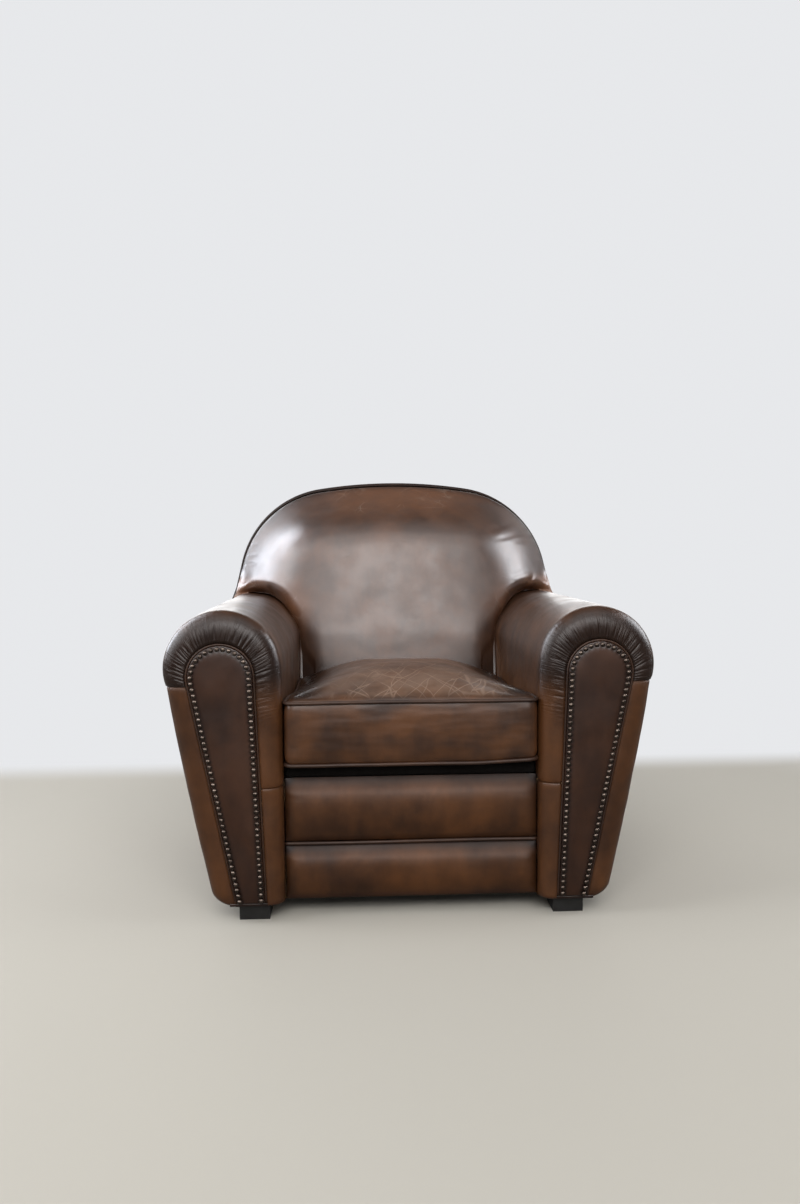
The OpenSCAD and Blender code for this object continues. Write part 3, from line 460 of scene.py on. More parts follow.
# A darker, duller copy of the leather for the back's border and welt: painted shade along the back's
# edge
keep(leather, "leather_edge", (0.014, 0.0070, 0.0045), (0.03, 0.0130, 0.0070),
     rough=(0.52, 0.62), coat=0.0, specular=0.12)
keep(leather, "leather_cushion", crackle=0.75, coat=0.1, specular=0.26)
keep(leather, "leather_back", (0.040, 0.0172, 0.0088), (0.136, 0.051, 0.0180), 0.22,
     scratches=0.5, coat=0.2, specular=0.5, uneven=0.5)
keep(leather, "leather_arms", coat=0.05, specular=0.2, gathered=True)


# Arms

def grown(c, r, low_in, low_out, d):
    """A drop outline, grown outwards by d: centre, radius and lower corners."""
    lows = ((low_in, -1), (low_out, 1))
    lows = [low + [side * d / abs(math.cos(math.radians(tangent(c, r, low, side)))), 0]
            for low, side in lows]
    return (c, r + d, *lows)


ARM_DROP = (ARM_C, ARM_R, np.array([SEAT_HALF, BASE_Z]), ARM_LOW_OUT)
FACING_DROP = (FACING_C, FACING_R, FACING_LOW_IN, FACING_LOW_OUT)
ROLL_DROP = grown(*FACING_DROP, 2 * FACING_PIPING_R + 0.6)


def side_point(drop, side, z):
    """The point at a height on the straight inner or outer side of a drop."""
    c, r, low_in, low_out = drop
    low = low_in if side < 0 else low_out
    high = c + r * units(tangent(c, r, low, side))
    return mix(low, high, (np.asarray(z, float)[..., None] - low[1]) / (high[1] - low[1]))


def drop_arc(drop, n):
    c, r, low_in, low_out = drop
    return arc(c, r, tangent(c, r, low_in, -1) + 360, tangent(c, r, low_out, 1), n)


def over_drop(drop, start, end, up_n, top_n, down_n):
    """From a point up the inner side of a drop, over its top and down to a point."""
    top = drop_arc(drop, top_n)
    return np.vstack([line(start, top[0], up_n, last=False), top, line(top[-1], end, down_n)[1:]])


def from_seams(drop):
    """Over a drop from its inner seam to its outer seam."""
    ends = side_point(drop, -1, INNER_SEAM_Z), side_point(drop, 1, OUTER_SEAM_Z)
    return over_drop(drop, *ends, 90, 340, 4)


def drop_loop(drop, side_n, top_n, base_n):
    """Closed outline of a drop, from its inner corner up, over the top and back."""
    return np.vstack([over_drop(drop, drop[2], drop[3], side_n, top_n, side_n),
                      line(drop[3], drop[2], base_n)[1:-1]])


ROLL_STEPS, LIP_STEPS = 22, 2


def roll_profile(a, f, y_rear, y_steps=70):
    """Outer profile at each station, from the facing's piping round the padded roll and
    back along the arm: points of shape (stations, steps, 3) and the run along it."""
    t = np.linspace(math.pi / 2, 0, ROLL_STEPS + 1)
    across, ahead = np.cos(t) ** 0.86, np.sin(t) ** 0.9
    xz = f[:, None] + (a - f)[:, None] * across[None, :, None]
    y = ROLL_REAR_Y + (ROLL_FRONT_Y - ROLL_REAR_Y) * ahead
    roll = np.concatenate([xz, np.broadcast_to(y[None, :, None], (*xz.shape[:2], 1))], 2)
    lip = np.repeat(roll[:, :1], LIP_STEPS, 1)
    lip[..., 2] = np.linspace(BOARD_Y - 0.4, ROLL_FRONT_Y, LIP_STEPS, endpoint=False)
    s = np.linspace(0, 1, y_steps + 1)[1:] ** 1.4
    back_y = ROLL_REAR_Y + (y_rear[:, None] - ROLL_REAR_Y) * s
    back = np.concatenate([np.repeat(a[:, None], y_steps, 1), back_y[..., None]], 2)
    points = np.concatenate([lip, roll, back], 1)[..., [0, 2, 1]]
    steps = np.linalg.norm(np.diff(points, axis=1), axis=2)
    return points, np.concatenate([np.zeros((len(a), 1)), np.cumsum(steps, 1)], 1)


def shell(outer, inward, thick):
    """Closes each profile into a ring by a second run, set in along inward."""
    inner = outer + inward * thick
    inner[:, :, 1] = np.maximum(inner[:, :, 1], outer[:, :, 1])
    inner[:, :LIP_STEPS + 1] = outer[:, :LIP_STEPS + 1] + [0, 0.6, 0]
    front = inner[:, :, 1] < BOARD_Y - 0.5
    inner[..., 1] = np.where(front, np.maximum(inner[..., 1], outer[..., 1] + 0.5), inner[..., 1])
    return np.concatenate([outer, inner[:, ::-1]], 1)


def dress_arm(name, side, points, out, nodes, fill, looks, thick=LEATHER_T):
    """Arm leather over an outer profile, with the same looks on both of its faces."""
    looks = {k: np.broadcast_to(v, points.shape[:2]) for k, v in looks.items()}
    looks = {k: np.concatenate([v, v[:, ::-1]], 1) for k, v in looks.items()}
    rings = mirrored(shell(points, -out, thick), side)
    dress(f"{name}_{hand(side)}", rings, "leather_arms", nodes, fill, looks)


def profile_normals(points):
    """Unit normals that point out of the arm, for a grid of profile points."""
    n = np.cross(np.gradient(points, axis=0), np.gradient(points, axis=1))
    return n / np.maximum(np.linalg.norm(n, axis=2), 1e-9)[..., None]


def gathers(s, run, rng, first, last, count):
    """Depth of the creases of leather gathered round the roll, at lengths s along the
    outline and run back from the facing."""
    depth = np.zeros((len(s), run.shape[1]))
    places = np.linspace(first, last, count) + rng.uniform(-2.4, 2.4, count)
    for place in places:
        edge = smooth((place - first) / 90)
        width, reach = rng.uniform(0.9, 1.9), rng.uniform(22, 50) * mix(0.5, 1, edge)
        size = rng.uniform(0.3, 1.35) * mix(0.2, 1, edge)
        lean, bend = rng.uniform(-0.16, 0.16), rng.uniform(-1.6, 1.6)
        middle = place + lean * run + bend * np.sin(run / 14)
        fade = smooth((run - 2) / 5) * (1 - smooth((run - reach * 0.35) / (reach * 0.65)))
        depth += size * fade * bell((s[:, None] - middle) / (width * (1 + run / 45)))
    return depth


REAR_DIP = 12.0


def dip_share(angle):
    """Share of the arm's dip at an angle round its outline, in degrees."""
    return smooth((178 - angle) / 40) * smooth((angle - 55) / 40)


def over_arm(angles, gap):
    """Points beside the dipped rear end of an arm, at angles round it and a gap off it."""
    return ARM_C + (ARM_R + gap - 0.9 * REAR_DIP * dip_share(angles))[:, None] * units(angles)


# Length of the gathered band round an arm's top, and the number of its creases
BAND_LENGTH, CREASES = 480, 84


def arm_top(side):
    """The leather over an arm: inside face, round top and gathered front roll in one."""
    rng = np.random.default_rng(11 if side < 0 else 23)
    a, f = from_seams(ARM_DROP), from_seams(ROLL_DROP)
    angle = np.degrees(np.arctan2(a[:, 1] - ARM_C[1], a[:, 0] - ARM_C[0]))[:, None]
    s = lengths_of(a)
    points, run = roll_profile(a, f, panel_y(a[:, 1]))
    out = profile_normals(points)
    first = s[-1] - BAND_LENGTH
    creases = gathers(s, run, rng, first, s[-1] + 2, CREASES)
    s = s[:, None]
    x, y, z = points[..., 0], points[..., 1], points[..., 2]
    puff = 1.4 * waves(points, 210, 3.1 * side) + 0.4 * waves(points, 70, 7.7 * side, 2)
    ends = smooth(run / 20) * smooth(s / 20) * smooth((s[-1] - s) / 8)
    # The band is puffed over its wadding, the leather dips to its inner seam, and it is
    # pulled down where it meets the inside back
    band = 1.4 * bell((run - 34) / 26) * smooth((z - 400) / 60)
    dip = REAR_DIP * dip_share(angle) * smooth((y + 150) / 420)
    lift = (puff + band) * ends - creases - 1.2 * bell(s / 4) - dip
    points = points + out * lift[..., None]
    top = smooth((z - 360 - 45 * smooth((ARM_C[0] - x) / 60)) / 60)
    roll = 1 - smooth((run + 9 * waves(points, 40, 5.0, 2) - 42) / 34)
    # The gathered band is darker for the blackened wax of its handled leather. Its creases are darker
    # still: painted shade
    dark = np.maximum(0.9 * roll * top, 0.3 * np.clip(creases, 0, 1))
    # Painted light: the warmer lower inner face is full strength on the right arm, which is lit more
    # from the left, and weaker on the left arm
    painted_light = 0.4 if side < 0 else 1.0
    wear_and_painted_light = smooth((470 - z) / 100) * smooth((SEAT_HALF + 40 - x) / 40) * painted_light
    wear_and_painted_light = np.maximum(wear_and_painted_light, 0.42 * (1 - smooth((z - 330) / 80)))
    wear_and_painted_light = wear_and_painted_light * (1 - 0.8 * dark) + 0.12 * waves(points, 140, 9.0) + 0.1
    glint = bell((angle - 136) / 16)
    looks = {"painted_shade_and_blackened": dark, "wear_and_painted_light": wear_and_painted_light, "along": s / s[-1], "across": run / 100,
             "gathered": roll * smooth((s - first) / 50) * smooth(run / 6),
             "dull": 0.25 * roll * top * (1 - 0.9 * glint)}
    nodes = [f"{node}_{hand(side)}" for node in ("arm_roll", "inside_arm", "gathered_band")]
    dress_arm("arm_leather", side, points, out, nodes, 0.8, looks)


EDGE_R = 25.0


def arm_outside(side):
    """The strip down the outer flank of the arm front, and the outside panel behind it."""
    low = BASE_Z + EDGE_R
    z = np.concatenate([OUTER_SEAM_Z - 0.8 - np.linspace(0, 1, 90) * (OUTER_SEAM_Z - low),
                        BASE_Z + EDGE_R * (1 - np.sin(np.radians(np.linspace(8, 90, 16))))])
    below = OUTER_SEAM_Z - z
    a, f = side_point(ARM_DROP, 1, z), side_point(ROLL_DROP, 1, z)
    under = EDGE_R - np.sqrt(np.clip(EDGE_R ** 2 - np.clip(low - z, 0, EDGE_R) ** 2, 0, None))
    bulge = 3.0 * np.sin(math.pi * below / (OUTER_SEAM_Z - BASE_Z))
    a[:, 0] += bulge - under - 1.2 * (1 - smooth(below / 60))
    points, run = roll_profile(a, f, panel_y(z))
    points[..., 1] += (under * 0.35)[:, None] * (run < 60)
    out = profile_normals(points)
    z, below = z[:, None], below[:, None]
    puff = 1.2 * waves(points, 170, 1.3 * side) + 0.3 * waves(points, 45, 4.0 * side, 2)
    sag = smooth(run / 20) * smooth(below / 14) * smooth((z - BASE_Z) / 30)
    turn = 1.3 * bell(below / 3.5)
    points = points + out * (puff * sag - turn)[..., None]
    wear_and_painted_light = 0.2 * (1 - smooth((run - 60) / 80)) + 0.25 * waves(points, 90, 2.0) + 0.1
    # Painted shade: darker at the foot and in the turn at the seam
    dark = 0.3 * smooth((BASE_Z + 30 - z) / 32) + 0.4 * np.clip(turn, 0, 1)
    dress_arm("arm_outside", side, points, out, [f"outside_arm_{hand(side)}", "arm_front_strips"],
              0.5, {"painted_shade_and_blackened": dark, "wear_and_painted_light": wear_and_painted_light, "dull": bell(below / 7)})


def arm_inner_strip(side):
    """The plain strip below the inner seam of an arm front, back to the front rolls."""
    end_y, r = -383.0, 5
    z = np.linspace(INNER_SEAM_Z - 0.8, BASE_Z, 90)
    a, f = side_point(ARM_DROP, -1, z), side_point(ROLL_DROP, -1, z)
    points, run = roll_profile(a, f, np.full(len(z), end_y), 6)
    z, below = z[:, None], (INNER_SEAM_Z - z)[:, None]
    points[..., 1] += r - np.sqrt(np.clip(r ** 2 - np.clip(BASE_Z + r - z, 0, r) ** 2, 0, None))
    out = -profile_normals(points)
    out = np.where(out[..., 1:2] > 0, -out, out)
    puff = 0.8 * waves(points, 70, 6.1 * side) * smooth(run / 12)
    turn = 1.3 * bell(below / 3.5)
    points = points + out * (puff * smooth(below / 14) - turn)[..., None]
    wear_and_painted_light = 0.55 + 0.35 * waves(points, 60, 8.0 * side) - 0.2 * smooth((run - 40) / 20)
    # Painted shade: darker in the turn at the seam and at the foot
    dark = 0.4 * np.clip(turn, 0, 1) + 0.5 * smooth((BASE_Z + 12 - z) / 14)
    dress_arm("arm_inner_strip", side, points, out, ["arm_front_strips"], 0.5,
              {"painted_shade_and_blackened": dark, "wear_and_painted_light": wear_and_painted_light}, 4.0)


FACING_EDGE, FACING_CROWN, FACING_POWER = 4.0, 8.0, 2.5


def nail_rows():
    """Where the nails of one facing stand: x and z of each, as its solids have them."""
    inset = grown(*FACING_DROP, -NAIL_INSET)
    path = over_drop(inset, inset[2], inset[3], 400, 400, 400)
    length = lengths_of(path)[-1]
    count = round(length / NAIL_PITCH)
    return spaced(path, (np.arange(count) + 0.5) * length / count)


def facing_rise(p):
    """How far the facing stands off its board at a nail, by its share of the way out."""
    inner = grown(*FACING_DROP, -NAIL_INSET)
    out = p - inner[0]
    if p[1] < inner[0][1]:
        out = np.array([math.copysign(1, out[0]), 0])
    out = out / np.linalg.norm(out)
    reach = abs(out @ (p - FACING_MID))
    return FACING_EDGE + FACING_CROWN * float(crown(reach / (reach + NAIL_INSET), FACING_POWER))


NAIL_H, NAIL_SINK, NAIL_SIDES = 3.2, 0.9, 14


def nail_heads(side):
    """The domed heads of the nails round one facing."""
    verts, faces, n = [], [], NAIL_SIDES
    levels = np.radians([0, 12, 30, 48, 66, 80])
    for x, z in nail_rows():
        y = BOARD_Y - facing_rise(np.array([x, z])) + NAIL_SINK
        start, top = len(verts), len(verts) + n * len(levels)
        for t in levels:
            ring = NAIL_R * math.cos(t) * units(np.arange(n) * 360 / n)
            verts += [(x + p, y - NAIL_H * math.sin(t), z + q) for p, q in ring]
        verts += [(x, y - NAIL_H, z), (x, y, z)]
        for i, j in zip(range(n), [*range(1, n), 0]):
            faces += [[k + i, k + j, k + n + j, k + n + i] for k in range(start, top - n, n)]
            faces += [[top - n + i, top - n + j, top], [start + j, start + i, top + 1]]
    piece = make_piece(f"nail_heads_{hand(side)}", mirrored(verts, side), faces, {})
    outfit(piece, "nail_bronze", ["facing_nails"])


def facing(side):
    """The tapered padded panel of an arm front, pulled in at each nail."""
    outline = drop_loop(FACING_DROP, 120, 110, 20)
    levels = np.append(1, np.cos(np.radians(np.linspace(0, 88, 34))) ** (2 / FACING_POWER))
    front = (np.arange(len(levels)) > 0)[:, None]
    flat = FACING_MID + levels[:, None, None] * (outline - FACING_MID)
    rise = front * (FACING_EDGE + FACING_CROWN * crown(levels, FACING_POWER)[:, None])
    rings = np.stack([flat[..., 0], BOARD_Y - rise + 0 * flat[..., 0], flat[..., 1]], 2)
    near = gap_to(flat.reshape(-1, 2), nail_rows()).reshape(flat.shape[:2])
    pull = 1.3 * bell(near / 5.2)
    swell = 0.4 * waves(rings, 60, 12.0 * side) * smooth((near - 4) / 14)
    rings[..., 1] += np.where(front, pull - swell, 0)
    # Painted shadow: darker in a ring round each nail, where the leather is pulled in. The rest varies
    # at random
    dark = 0.85 * np.exp(-(near / 7.5) ** 4) + 0.12 * waves(rings, 90, 4.4)
    wear_and_painted_light = 0.25 + 0.25 * waves(rings, 120, 15.0 * side)
    dress(f"facing_pad_{hand(side)}", mirrored(rings, side), "leather_dark",
          [f"facing_{hand(side)}"], 0.6, {"painted_shade_and_blackened": dark, "wear_and_painted_light": wear_and_painted_light})


def facing_base(side):
    """The leather turned under a facing, down to the lower edge of the arm front."""
    rings = []
    for x in np.linspace(FACING_LOW_IN[0] - 9, FACING_LOW_OUT[0] + 14, 24):
        front = BOARD_Y - 2.6 + 0.4 * math.sin(x / 6)
        rings.append([[x, y, BASE_Z + up] for y, up in (
            (BOARD_Y - 0.3, 6.4), (front + 1.2, 6.4), (front, 5), (front, 2.4),
            (front + 1.6, 0.4), (BOARD_Y + 22, -0.8), (BOARD_Y + 22, -0.2), (BOARD_Y - 0.3, -0.2))])
    # Painted shade: darkened all over, where the leather turns under the facing
    dress(f"arm_front_base_{hand(side)}", mirrored(rings, side), "leather_dark",
          ["arm_front_strips"], looks={"painted_shade_and_blackened": 0.5})


def facing_piping(side):
    path = drop_loop(grown(*FACING_DROP, FACING_PIPING_R + 0.3), 60, 70, 2)[:-1]
    points = np.insert(path, 1, BOARD_Y - FACING_PIPING_R - 1.0, axis=1)
    points[:, 1] += 0.25 * waves(points, 30, 3.0 * side)
    cord(f"facing_cord_{hand(side)}", mirrored(points, side), FACING_PIPING_R, "facing_piping")


# Back

# Slope of the back's edge above the arms, and where the arm's outline turns to it, in degrees
FLARE, ARM_TURN = 12.9, 20.0


def back_outline(d, n=16):
    """Half outline of the back from the arm's flank over the shoulder to the middle."""
    top_c = np.array([0, TOP_Z - TOP_R])
    rise = math.sqrt((TOP_R - SHOULDER_R) ** 2 - SHOULDER_X ** 2)
    turn = math.degrees(math.atan2(rise, SHOULDER_X))
    shoulder = arc(top_c + [SHOULDER_X, rise], SHOULDER_R - d, FLARE, turn, 3 * n)
    top = arc(top_c, TOP_R - d, turn, 90, n)[1:]
    arm = arc(ARM_C, ARM_R - d, tangent(ARM_C, ARM_R, ARM_LOW_OUT, 1), ARM_TURN, n)
    slope = np.array([math.tan(math.radians(FLARE)), -1])
    foot = shoulder[0] + (shoulder[0][1] - ARM_TOP_Z) * slope
    return np.vstack([arm, line(arm[-1], foot, 5)[1:]]), shoulder, top


PAD_LOW, PAD_TOP, CROWN_Z = 279.0, 172.0, 700.0
WALL_SEAT, WALL_NOTCH, WALL_TOP, WALL_RINGS = 0.82, 0.25, 0.14, 8
PAD_REAR = (BACK_FRAME + 3.3) / math.cos(LEAN)
PAD_HALF, PAD_INSET = 232.9, 13.0
# How far in from its edges the inside back's wall turns to its face: low down, over the
# arms, and round the top
EDGE_LOW, EDGE_ARM, EDGE_HIGH = 62.0, 45.0, 165.0
# Half width and half height of the dome that the inside back swells to, about its crown
DOME_LOW_X, DOME_HIGH_X, DOME_UP, DOME_DOWN, DOME_FALL = 250.0, 405.0, 148.0, 413.0, 0.42


def pad_outline():
    """Half outline of the inside back, from the middle of its lower edge to its top."""
    arm, shoulder, top = back_outline(PAD_INSET)
    z, r = DECK_Z + 2, 18.0
    notch = over_arm(np.linspace(174, 50, 60), 1.0)
    corner = arc([PAD_HALF - r, z + r], r, -90, 0, 10)
    ledge = np.array([mix(arm[-1], shoulder[0], t) for t in (-0.14, 0, 0.3, 0.6, 0.85)])
    return np.vstack([line([0, z], corner[0], 24, last=False), corner,
                      line(corner[-1], notch[0], 22)[1:-1], notch, ledge, shoulder, top])


def pad_depth(z):
    """How far the inside back could stand off its frame at a height."""
    return mix(PAD_LOW, PAD_TOP, (z - DECK_Z) / (TOP_Z - DECK_Z))


def wall_share(x, z):
    """Share of the pad's depth that its edge has beside a place."""
    beside = mix(WALL_SEAT, WALL_NOTCH, smooth((np.abs(x) - PAD_HALF + 6) / 120))
    return mix(beside, WALL_TOP, smooth((z - ARM_TOP_Z + 20) / 90))


def pad_depth_share(x, z, outline):
    """Share of the full depth over the pad: its edge rounds over to one wide soft dome."""
    high = (outline[:, 1] > 600) | (np.abs(outline[:, 0]) > 398)
    low = ~high & (outline[:, 1] > DECK_Z + 22)
    flat = np.stack([x.ravel(), z.ravel()], 1)
    top_gap, low_gap = (gap_to(flat, outline[part]).reshape(x.shape) for part in (high, low))
    rounded = 1 - (1 - np.clip(top_gap / EDGE_HIGH, 0, 1)) ** 2.8
    edge_low = mix(EDGE_LOW, EDGE_ARM, smooth((z - 520) / 60))
    rounded = rounded * (1 - (1 - np.clip(low_gap / edge_low, 0, 1)) ** 2.6)
    half_x = mix(DOME_LOW_X, DOME_HIGH_X, smooth((z - 430) / 170))
    half_z = np.where(z > CROWN_Z, DOME_UP, DOME_DOWN)
    s = np.hypot(np.abs(x) / half_x, np.abs(z - CROWN_Z) / half_z)
    fall = DOME_FALL * np.clip(s, 0, 1.25) ** 2.4
    sunk = 0.1 * np.clip((CROWN_Z - z) / 354, 0, 2) ** 1.5 + 0.06 * np.clip(np.abs(x) / 230, 0, 2) ** 3
    face = 1 - mix(sunk, fall, smooth((z - 470) / 190))
    return mix(wall_share(x, z), face, rounded), np.minimum(top_gap, low_gap)


def fold(points, start, end, width, depth, bend):
    """A crease from start to end in x and z, with a soft ridge beside it."""
    start, run = np.array(start, float), np.subtract(end, start)
    length = np.linalg.norm(run)
    run, side = run / length, np.array([-run[1], run[0]]) / length
    v = points[..., [0, 2]] - start
    t, d = v @ run / length, v @ side
    d = d - bend * np.sin(np.clip(t, 0, 1) * math.pi)
    along = smooth((t + 0.25) / 0.5) * (1 - smooth((t - 0.72) / 0.4))
    return along * depth * (0.75 * bell((d - 1.5 * width) / (1.4 * width)) - bell(d / width))


# Creases of the inside back: start, end, width, depth and bend, in x and z
BACK_FOLDS = [
    ((-290, 552), (-316, 588), 5.5, 6.0, 0), ((347, 600), (298, 552), 6.5, 5.5, 0),
    ((336, 618), (284, 606), 5.0, 1.8, 0), ((-392, 656), (-352, 662), 3.6, 2.2, 0),
    ((-386, 684), (-350, 688), 3.6, 2.2, 1), ((-376, 712), (-342, 710), 3.6, 2.0, 1),
    ((-396, 630), (-350, 640), 4.2, 2.0, 2), ((368, 700), (300, 690), 6, 1.2, 3),
    ((362, 728), (250, 696), 6, 1.1, 5), ((340, 762), (230, 716), 7, 1.0, 5),
    ((384, 650), (340, 652), 5, 1.4, 2),
]
# Where the leather is tucked in above an arm: side, ledge height, ridge's top and foot
TUCKS = [(-1, 578.0, (322, 586), (296, 550)), (1, 588.0, (352, 598), (304, 546))]


def tucked(points):
    """How far the inside back steps in between each tuck's ridge and the arm."""
    depth = 0
    for side, ledge, top, foot in TUCKS:
        x, z = side * points[..., 0], points[..., 2]
        run = np.subtract(foot, top) / np.linalg.norm(np.subtract(foot, top))
        out = (x - top[0]) * -run[1] + (z - top[1]) * run[0]
        depth += 3.5 * smooth((ledge + 4 - z) / 32) * smooth((out + 2) / 20) * (x > 200)
    return depth


def inside_back():
    outline = even(whole(pad_outline(), 0), 620)
    c = np.array([0, CROWN_Z])
    levels = np.cos(np.radians(np.linspace(0, 88.5, 90))) ** (2 / 2.3)
    x, z = np.moveaxis(c + levels[:, None, None] * (outline - c), 2, 0)
    share, gap = pad_depth_share(x, z, outline)
    # The pad's wall is its edge, drawn out from the frame in even steps
    x, z, depth = (np.concatenate([np.repeat(v[:1], WALL_RINGS, 0), v])
                   for v in (x, z, pad_depth(z) * share))
    gap = np.concatenate([np.zeros((WALL_RINGS, len(outline))), gap])
    steps = np.clip(np.arange(len(z)) / WALL_RINGS, 0, 1)[:, None]
    rings = np.stack([x, rear_y(z) - PAD_REAR - depth * steps, z], 2)
    lift = 1.6 * waves(rings, 190, 21.0) + 0.4 * waves(rings, 70, 22.0, 2)
    lift *= smooth(gap / 40) * smooth((z - 420) / 40)
    for crease in BACK_FOLDS:
        lift += fold(rings, *crease) * smooth(gap / 8)
    rings[..., 1] -= lift - tucked(rings) * smooth(gap / 6)
    patch = np.exp(-((x - 10) / 185) ** 4 - ((z - 808) / 48) ** 2)
    tuck = bell((np.abs(x) - 270) / 58) * bell((z - 535) / 50)
    # Painted light: low on the sides above the arms, where the pad's overhang keeps them in shade, the
    # colour is lifted to warm brown
    low = smooth((618 - z) / 30) * smooth((np.abs(x) - 290) / 50)
    wear_and_painted_light = np.clip(0.9 * patch + 0.8 * tuck + low, 0, 1) + 0.14 * waves(rings, 100, 30.0)
    # Painted shade: darker along the upper rim, where the pad turns away, and low down behind the
    # cushion
    dark = 0.5 * smooth(1 - gap / 12) * (z > 600) + 0.6 * smooth((430 - z) / 40)
    dress("inside_back_leather", rings, "leather_back", ["inside_back"], 0.85,
          {"painted_shade_and_blackened": dark, "wear_and_painted_light": wear_and_painted_light})


def leaned(xz, depth):
    """Points of a rear outline at a depth ahead of the outside back's rear plane."""
    return np.insert(xz, 1, rear_y(xz[:, 1]) - depth / math.cos(LEAN), axis=1)


def rear_outline(d, n=16):
    arm, shoulder, top = back_outline(d, n)
    low = grown(*ARM_DROP, -d)[3]
    return whole(np.vstack([line(low, arm[0], 40, last=False), arm, shoulder, top]))


def back_border():
    """The leather edge between the inside back and the welt, a thin closed strip."""
    outer, inner = rear_outline(5.6), rear_outline(9.5)
    depths = np.linspace(BACK_FRAME + 3, BACK_PANEL - 2, 6)
    rings = np.stack([leaned(outer, d) for d in depths] + [leaned(inner, d) for d in depths[::-1]], 1)
    # Darkened all over: painted shade along the back's edge
    dress("back_border_leather", rings, "leather_edge", ["back_border"],
          looks={"painted_shade_and_blackened": 0.45, "wear_and_painted_light": 0.3}, slot="leather_back")


def outside_back():
    """The padded outside back, drawn tight to its welt."""
    outline = rear_outline(2 * WELT_R + 0.3)
    loop = even(np.vstack([outline, line(outline[-1], outline[0], 60)[1:-1]]), 420)
    c = np.array([0, 420.0])
    rings = [leaned(loop, BACK_PANEL - 0.4)]
    for s in np.cos(np.radians(np.linspace(0, 88, 40))) ** 0.8:
        rings.append(leaned(c + s * (loop - c), 3.5 - 3.3 * float(crown(s, 3.0))))
    rings = np.array(rings)
    ripple = 1.1 * waves(rings, 210, 40.0) + 0.3 * waves(rings, 60, 41.0, 2)
    rings[1:, :, 1] -= np.abs(ripple[1:])
    # Painted shade: darker toward the welt round its edge
    edge = 1 - smooth(np.arange(len(rings))[:, None] / len(rings) / 0.2)
    dress("outside_back_leather", rings, "leather_back", ["outside_back"], 0.4,
          {"painted_shade_and_blackened": 0.5 * edge + 0.1, "wear_and_painted_light": 0.2 + 0.4 * waves(rings, 160, 44.0)})


def back_welt():
    cord("back_cord", leaned(rear_outline(WELT_R, 30), WELT_R), WELT_R, "back_welt",
         "leather_edge", sides=14, slot="leather_welt")


def arm_welt(side):
    """The thin pale welt where the inside arm meets the inside back."""
    low = line([234.6, CUSHION_TOP_Z - SIDE_SAG], [234.6, ARM_C[1]], 27)
    angles = np.linspace(178, 118, 30)
    path = np.vstack([low, over_arm(angles, 1.2 - 5.0 * smooth((158 - angles) / 14))])
    x, z = path.T
    wall = mix(WALL_SEAT, WALL_NOTCH, np.clip((x - PAD_HALF) / 184, 0, 1))
    points = np.insert(path, 1, rear_y(z) - PAD_REAR - pad_depth(z) * wall + 1.0, axis=1)
    cord(f"arm_cord_{hand(side)}", mirrored(points, side), 1.4, "inside_arm_welts",
         "leather_arms", sides=10, slot="leather_welt")


# Seat front, cushion and deck

# The plane behind the front rolls, and the line of the welt between them
SEAT_FRONT_Y, WELT_Y, WELT_Z = -382.0, -386.6, 136


def front_roll(name, node, z0, z1, seed):
    """One of the two puffed rolls below the cushion, gathered a little at its ends."""
    half, edge, rise = SEAT_HALF - 0.6, 3.0, 17.5
    nx, nz = 190, 44
    u, v = (np.sin(np.linspace(-math.pi / 2, math.pi / 2, n)) for n in (nx, nz))
    x = half * (0.35 * u + 0.65 * np.linspace(-1, 1, nx))[:, None]
    height, mid = (z1 - z0) / 2, (z0 + z1) / 2
    ends = (1 - (1 - np.clip((half - np.abs(x)) / 34, 0, 1)) ** 2.4) ** (1 / 2.4)
    face = np.append(1 - np.abs(v) ** 2.3, 0 * v) * ends
    z = mid + height * np.append(v, v[::-1]) * (1 - 0.03 * (1 - ends))
    front = np.repeat([1, 0], nz)
    rings = np.stack([x + 0 * z, SEAT_FRONT_Y - edge * front - rise * face, z], 2)
    from_end = half - np.abs(x)
    pucker = waves(rings * [0.3, 1, 1.6], 13, seed, 2) * bell(from_end / 26)
    rings[..., 1] -= (0.9 * pucker + 1.2 * waves(rings, 130, seed + 1)) * face
    up = (z - mid) / height
    # Painted shade: darker at the ends, along the top under the cushion and along the foot
    dark = 0.6 * (1 - smooth(from_end / 24)) + 0.8 * smooth((up - 0.62) / 0.34)
    dark = np.maximum(dark, 0.45 * smooth((-up - 0.75) / 0.25))
    wear_and_painted_light = 0.42 + 0.5 * waves(rings * [1, 1, 0.6], 80, seed + 3) - 0.1 * np.abs(up)
    dress(name, rings, "leather_arms", [node], 0.7,
          {"painted_shade_and_blackened": dark, "wear_and_painted_light": wear_and_painted_light, "dull": 0.8 * smooth((up - 0.5) / 0.25)})


def front_welt():
    x = np.linspace(-SEAT_HALF + 0.8, SEAT_HALF - 0.8, 90)
    path = np.stack([x, np.full_like(x, WELT_Y), WELT_Z + 0.5 * np.sin(x / 70)], 1)
    cord("front_cord", path, PIPING_R, "front_welt")


CORNER_R, DRAW, DOME, SIDE_SAG = 20.0, 2.0, 34.0, 30.0
CUSHION_MID_Y = (CUSHION_FRONT_Y + CUSHION_REAR_Y) / 2
CUSHION_D = CUSHION_REAR_Y - CUSHION_FRONT_Y


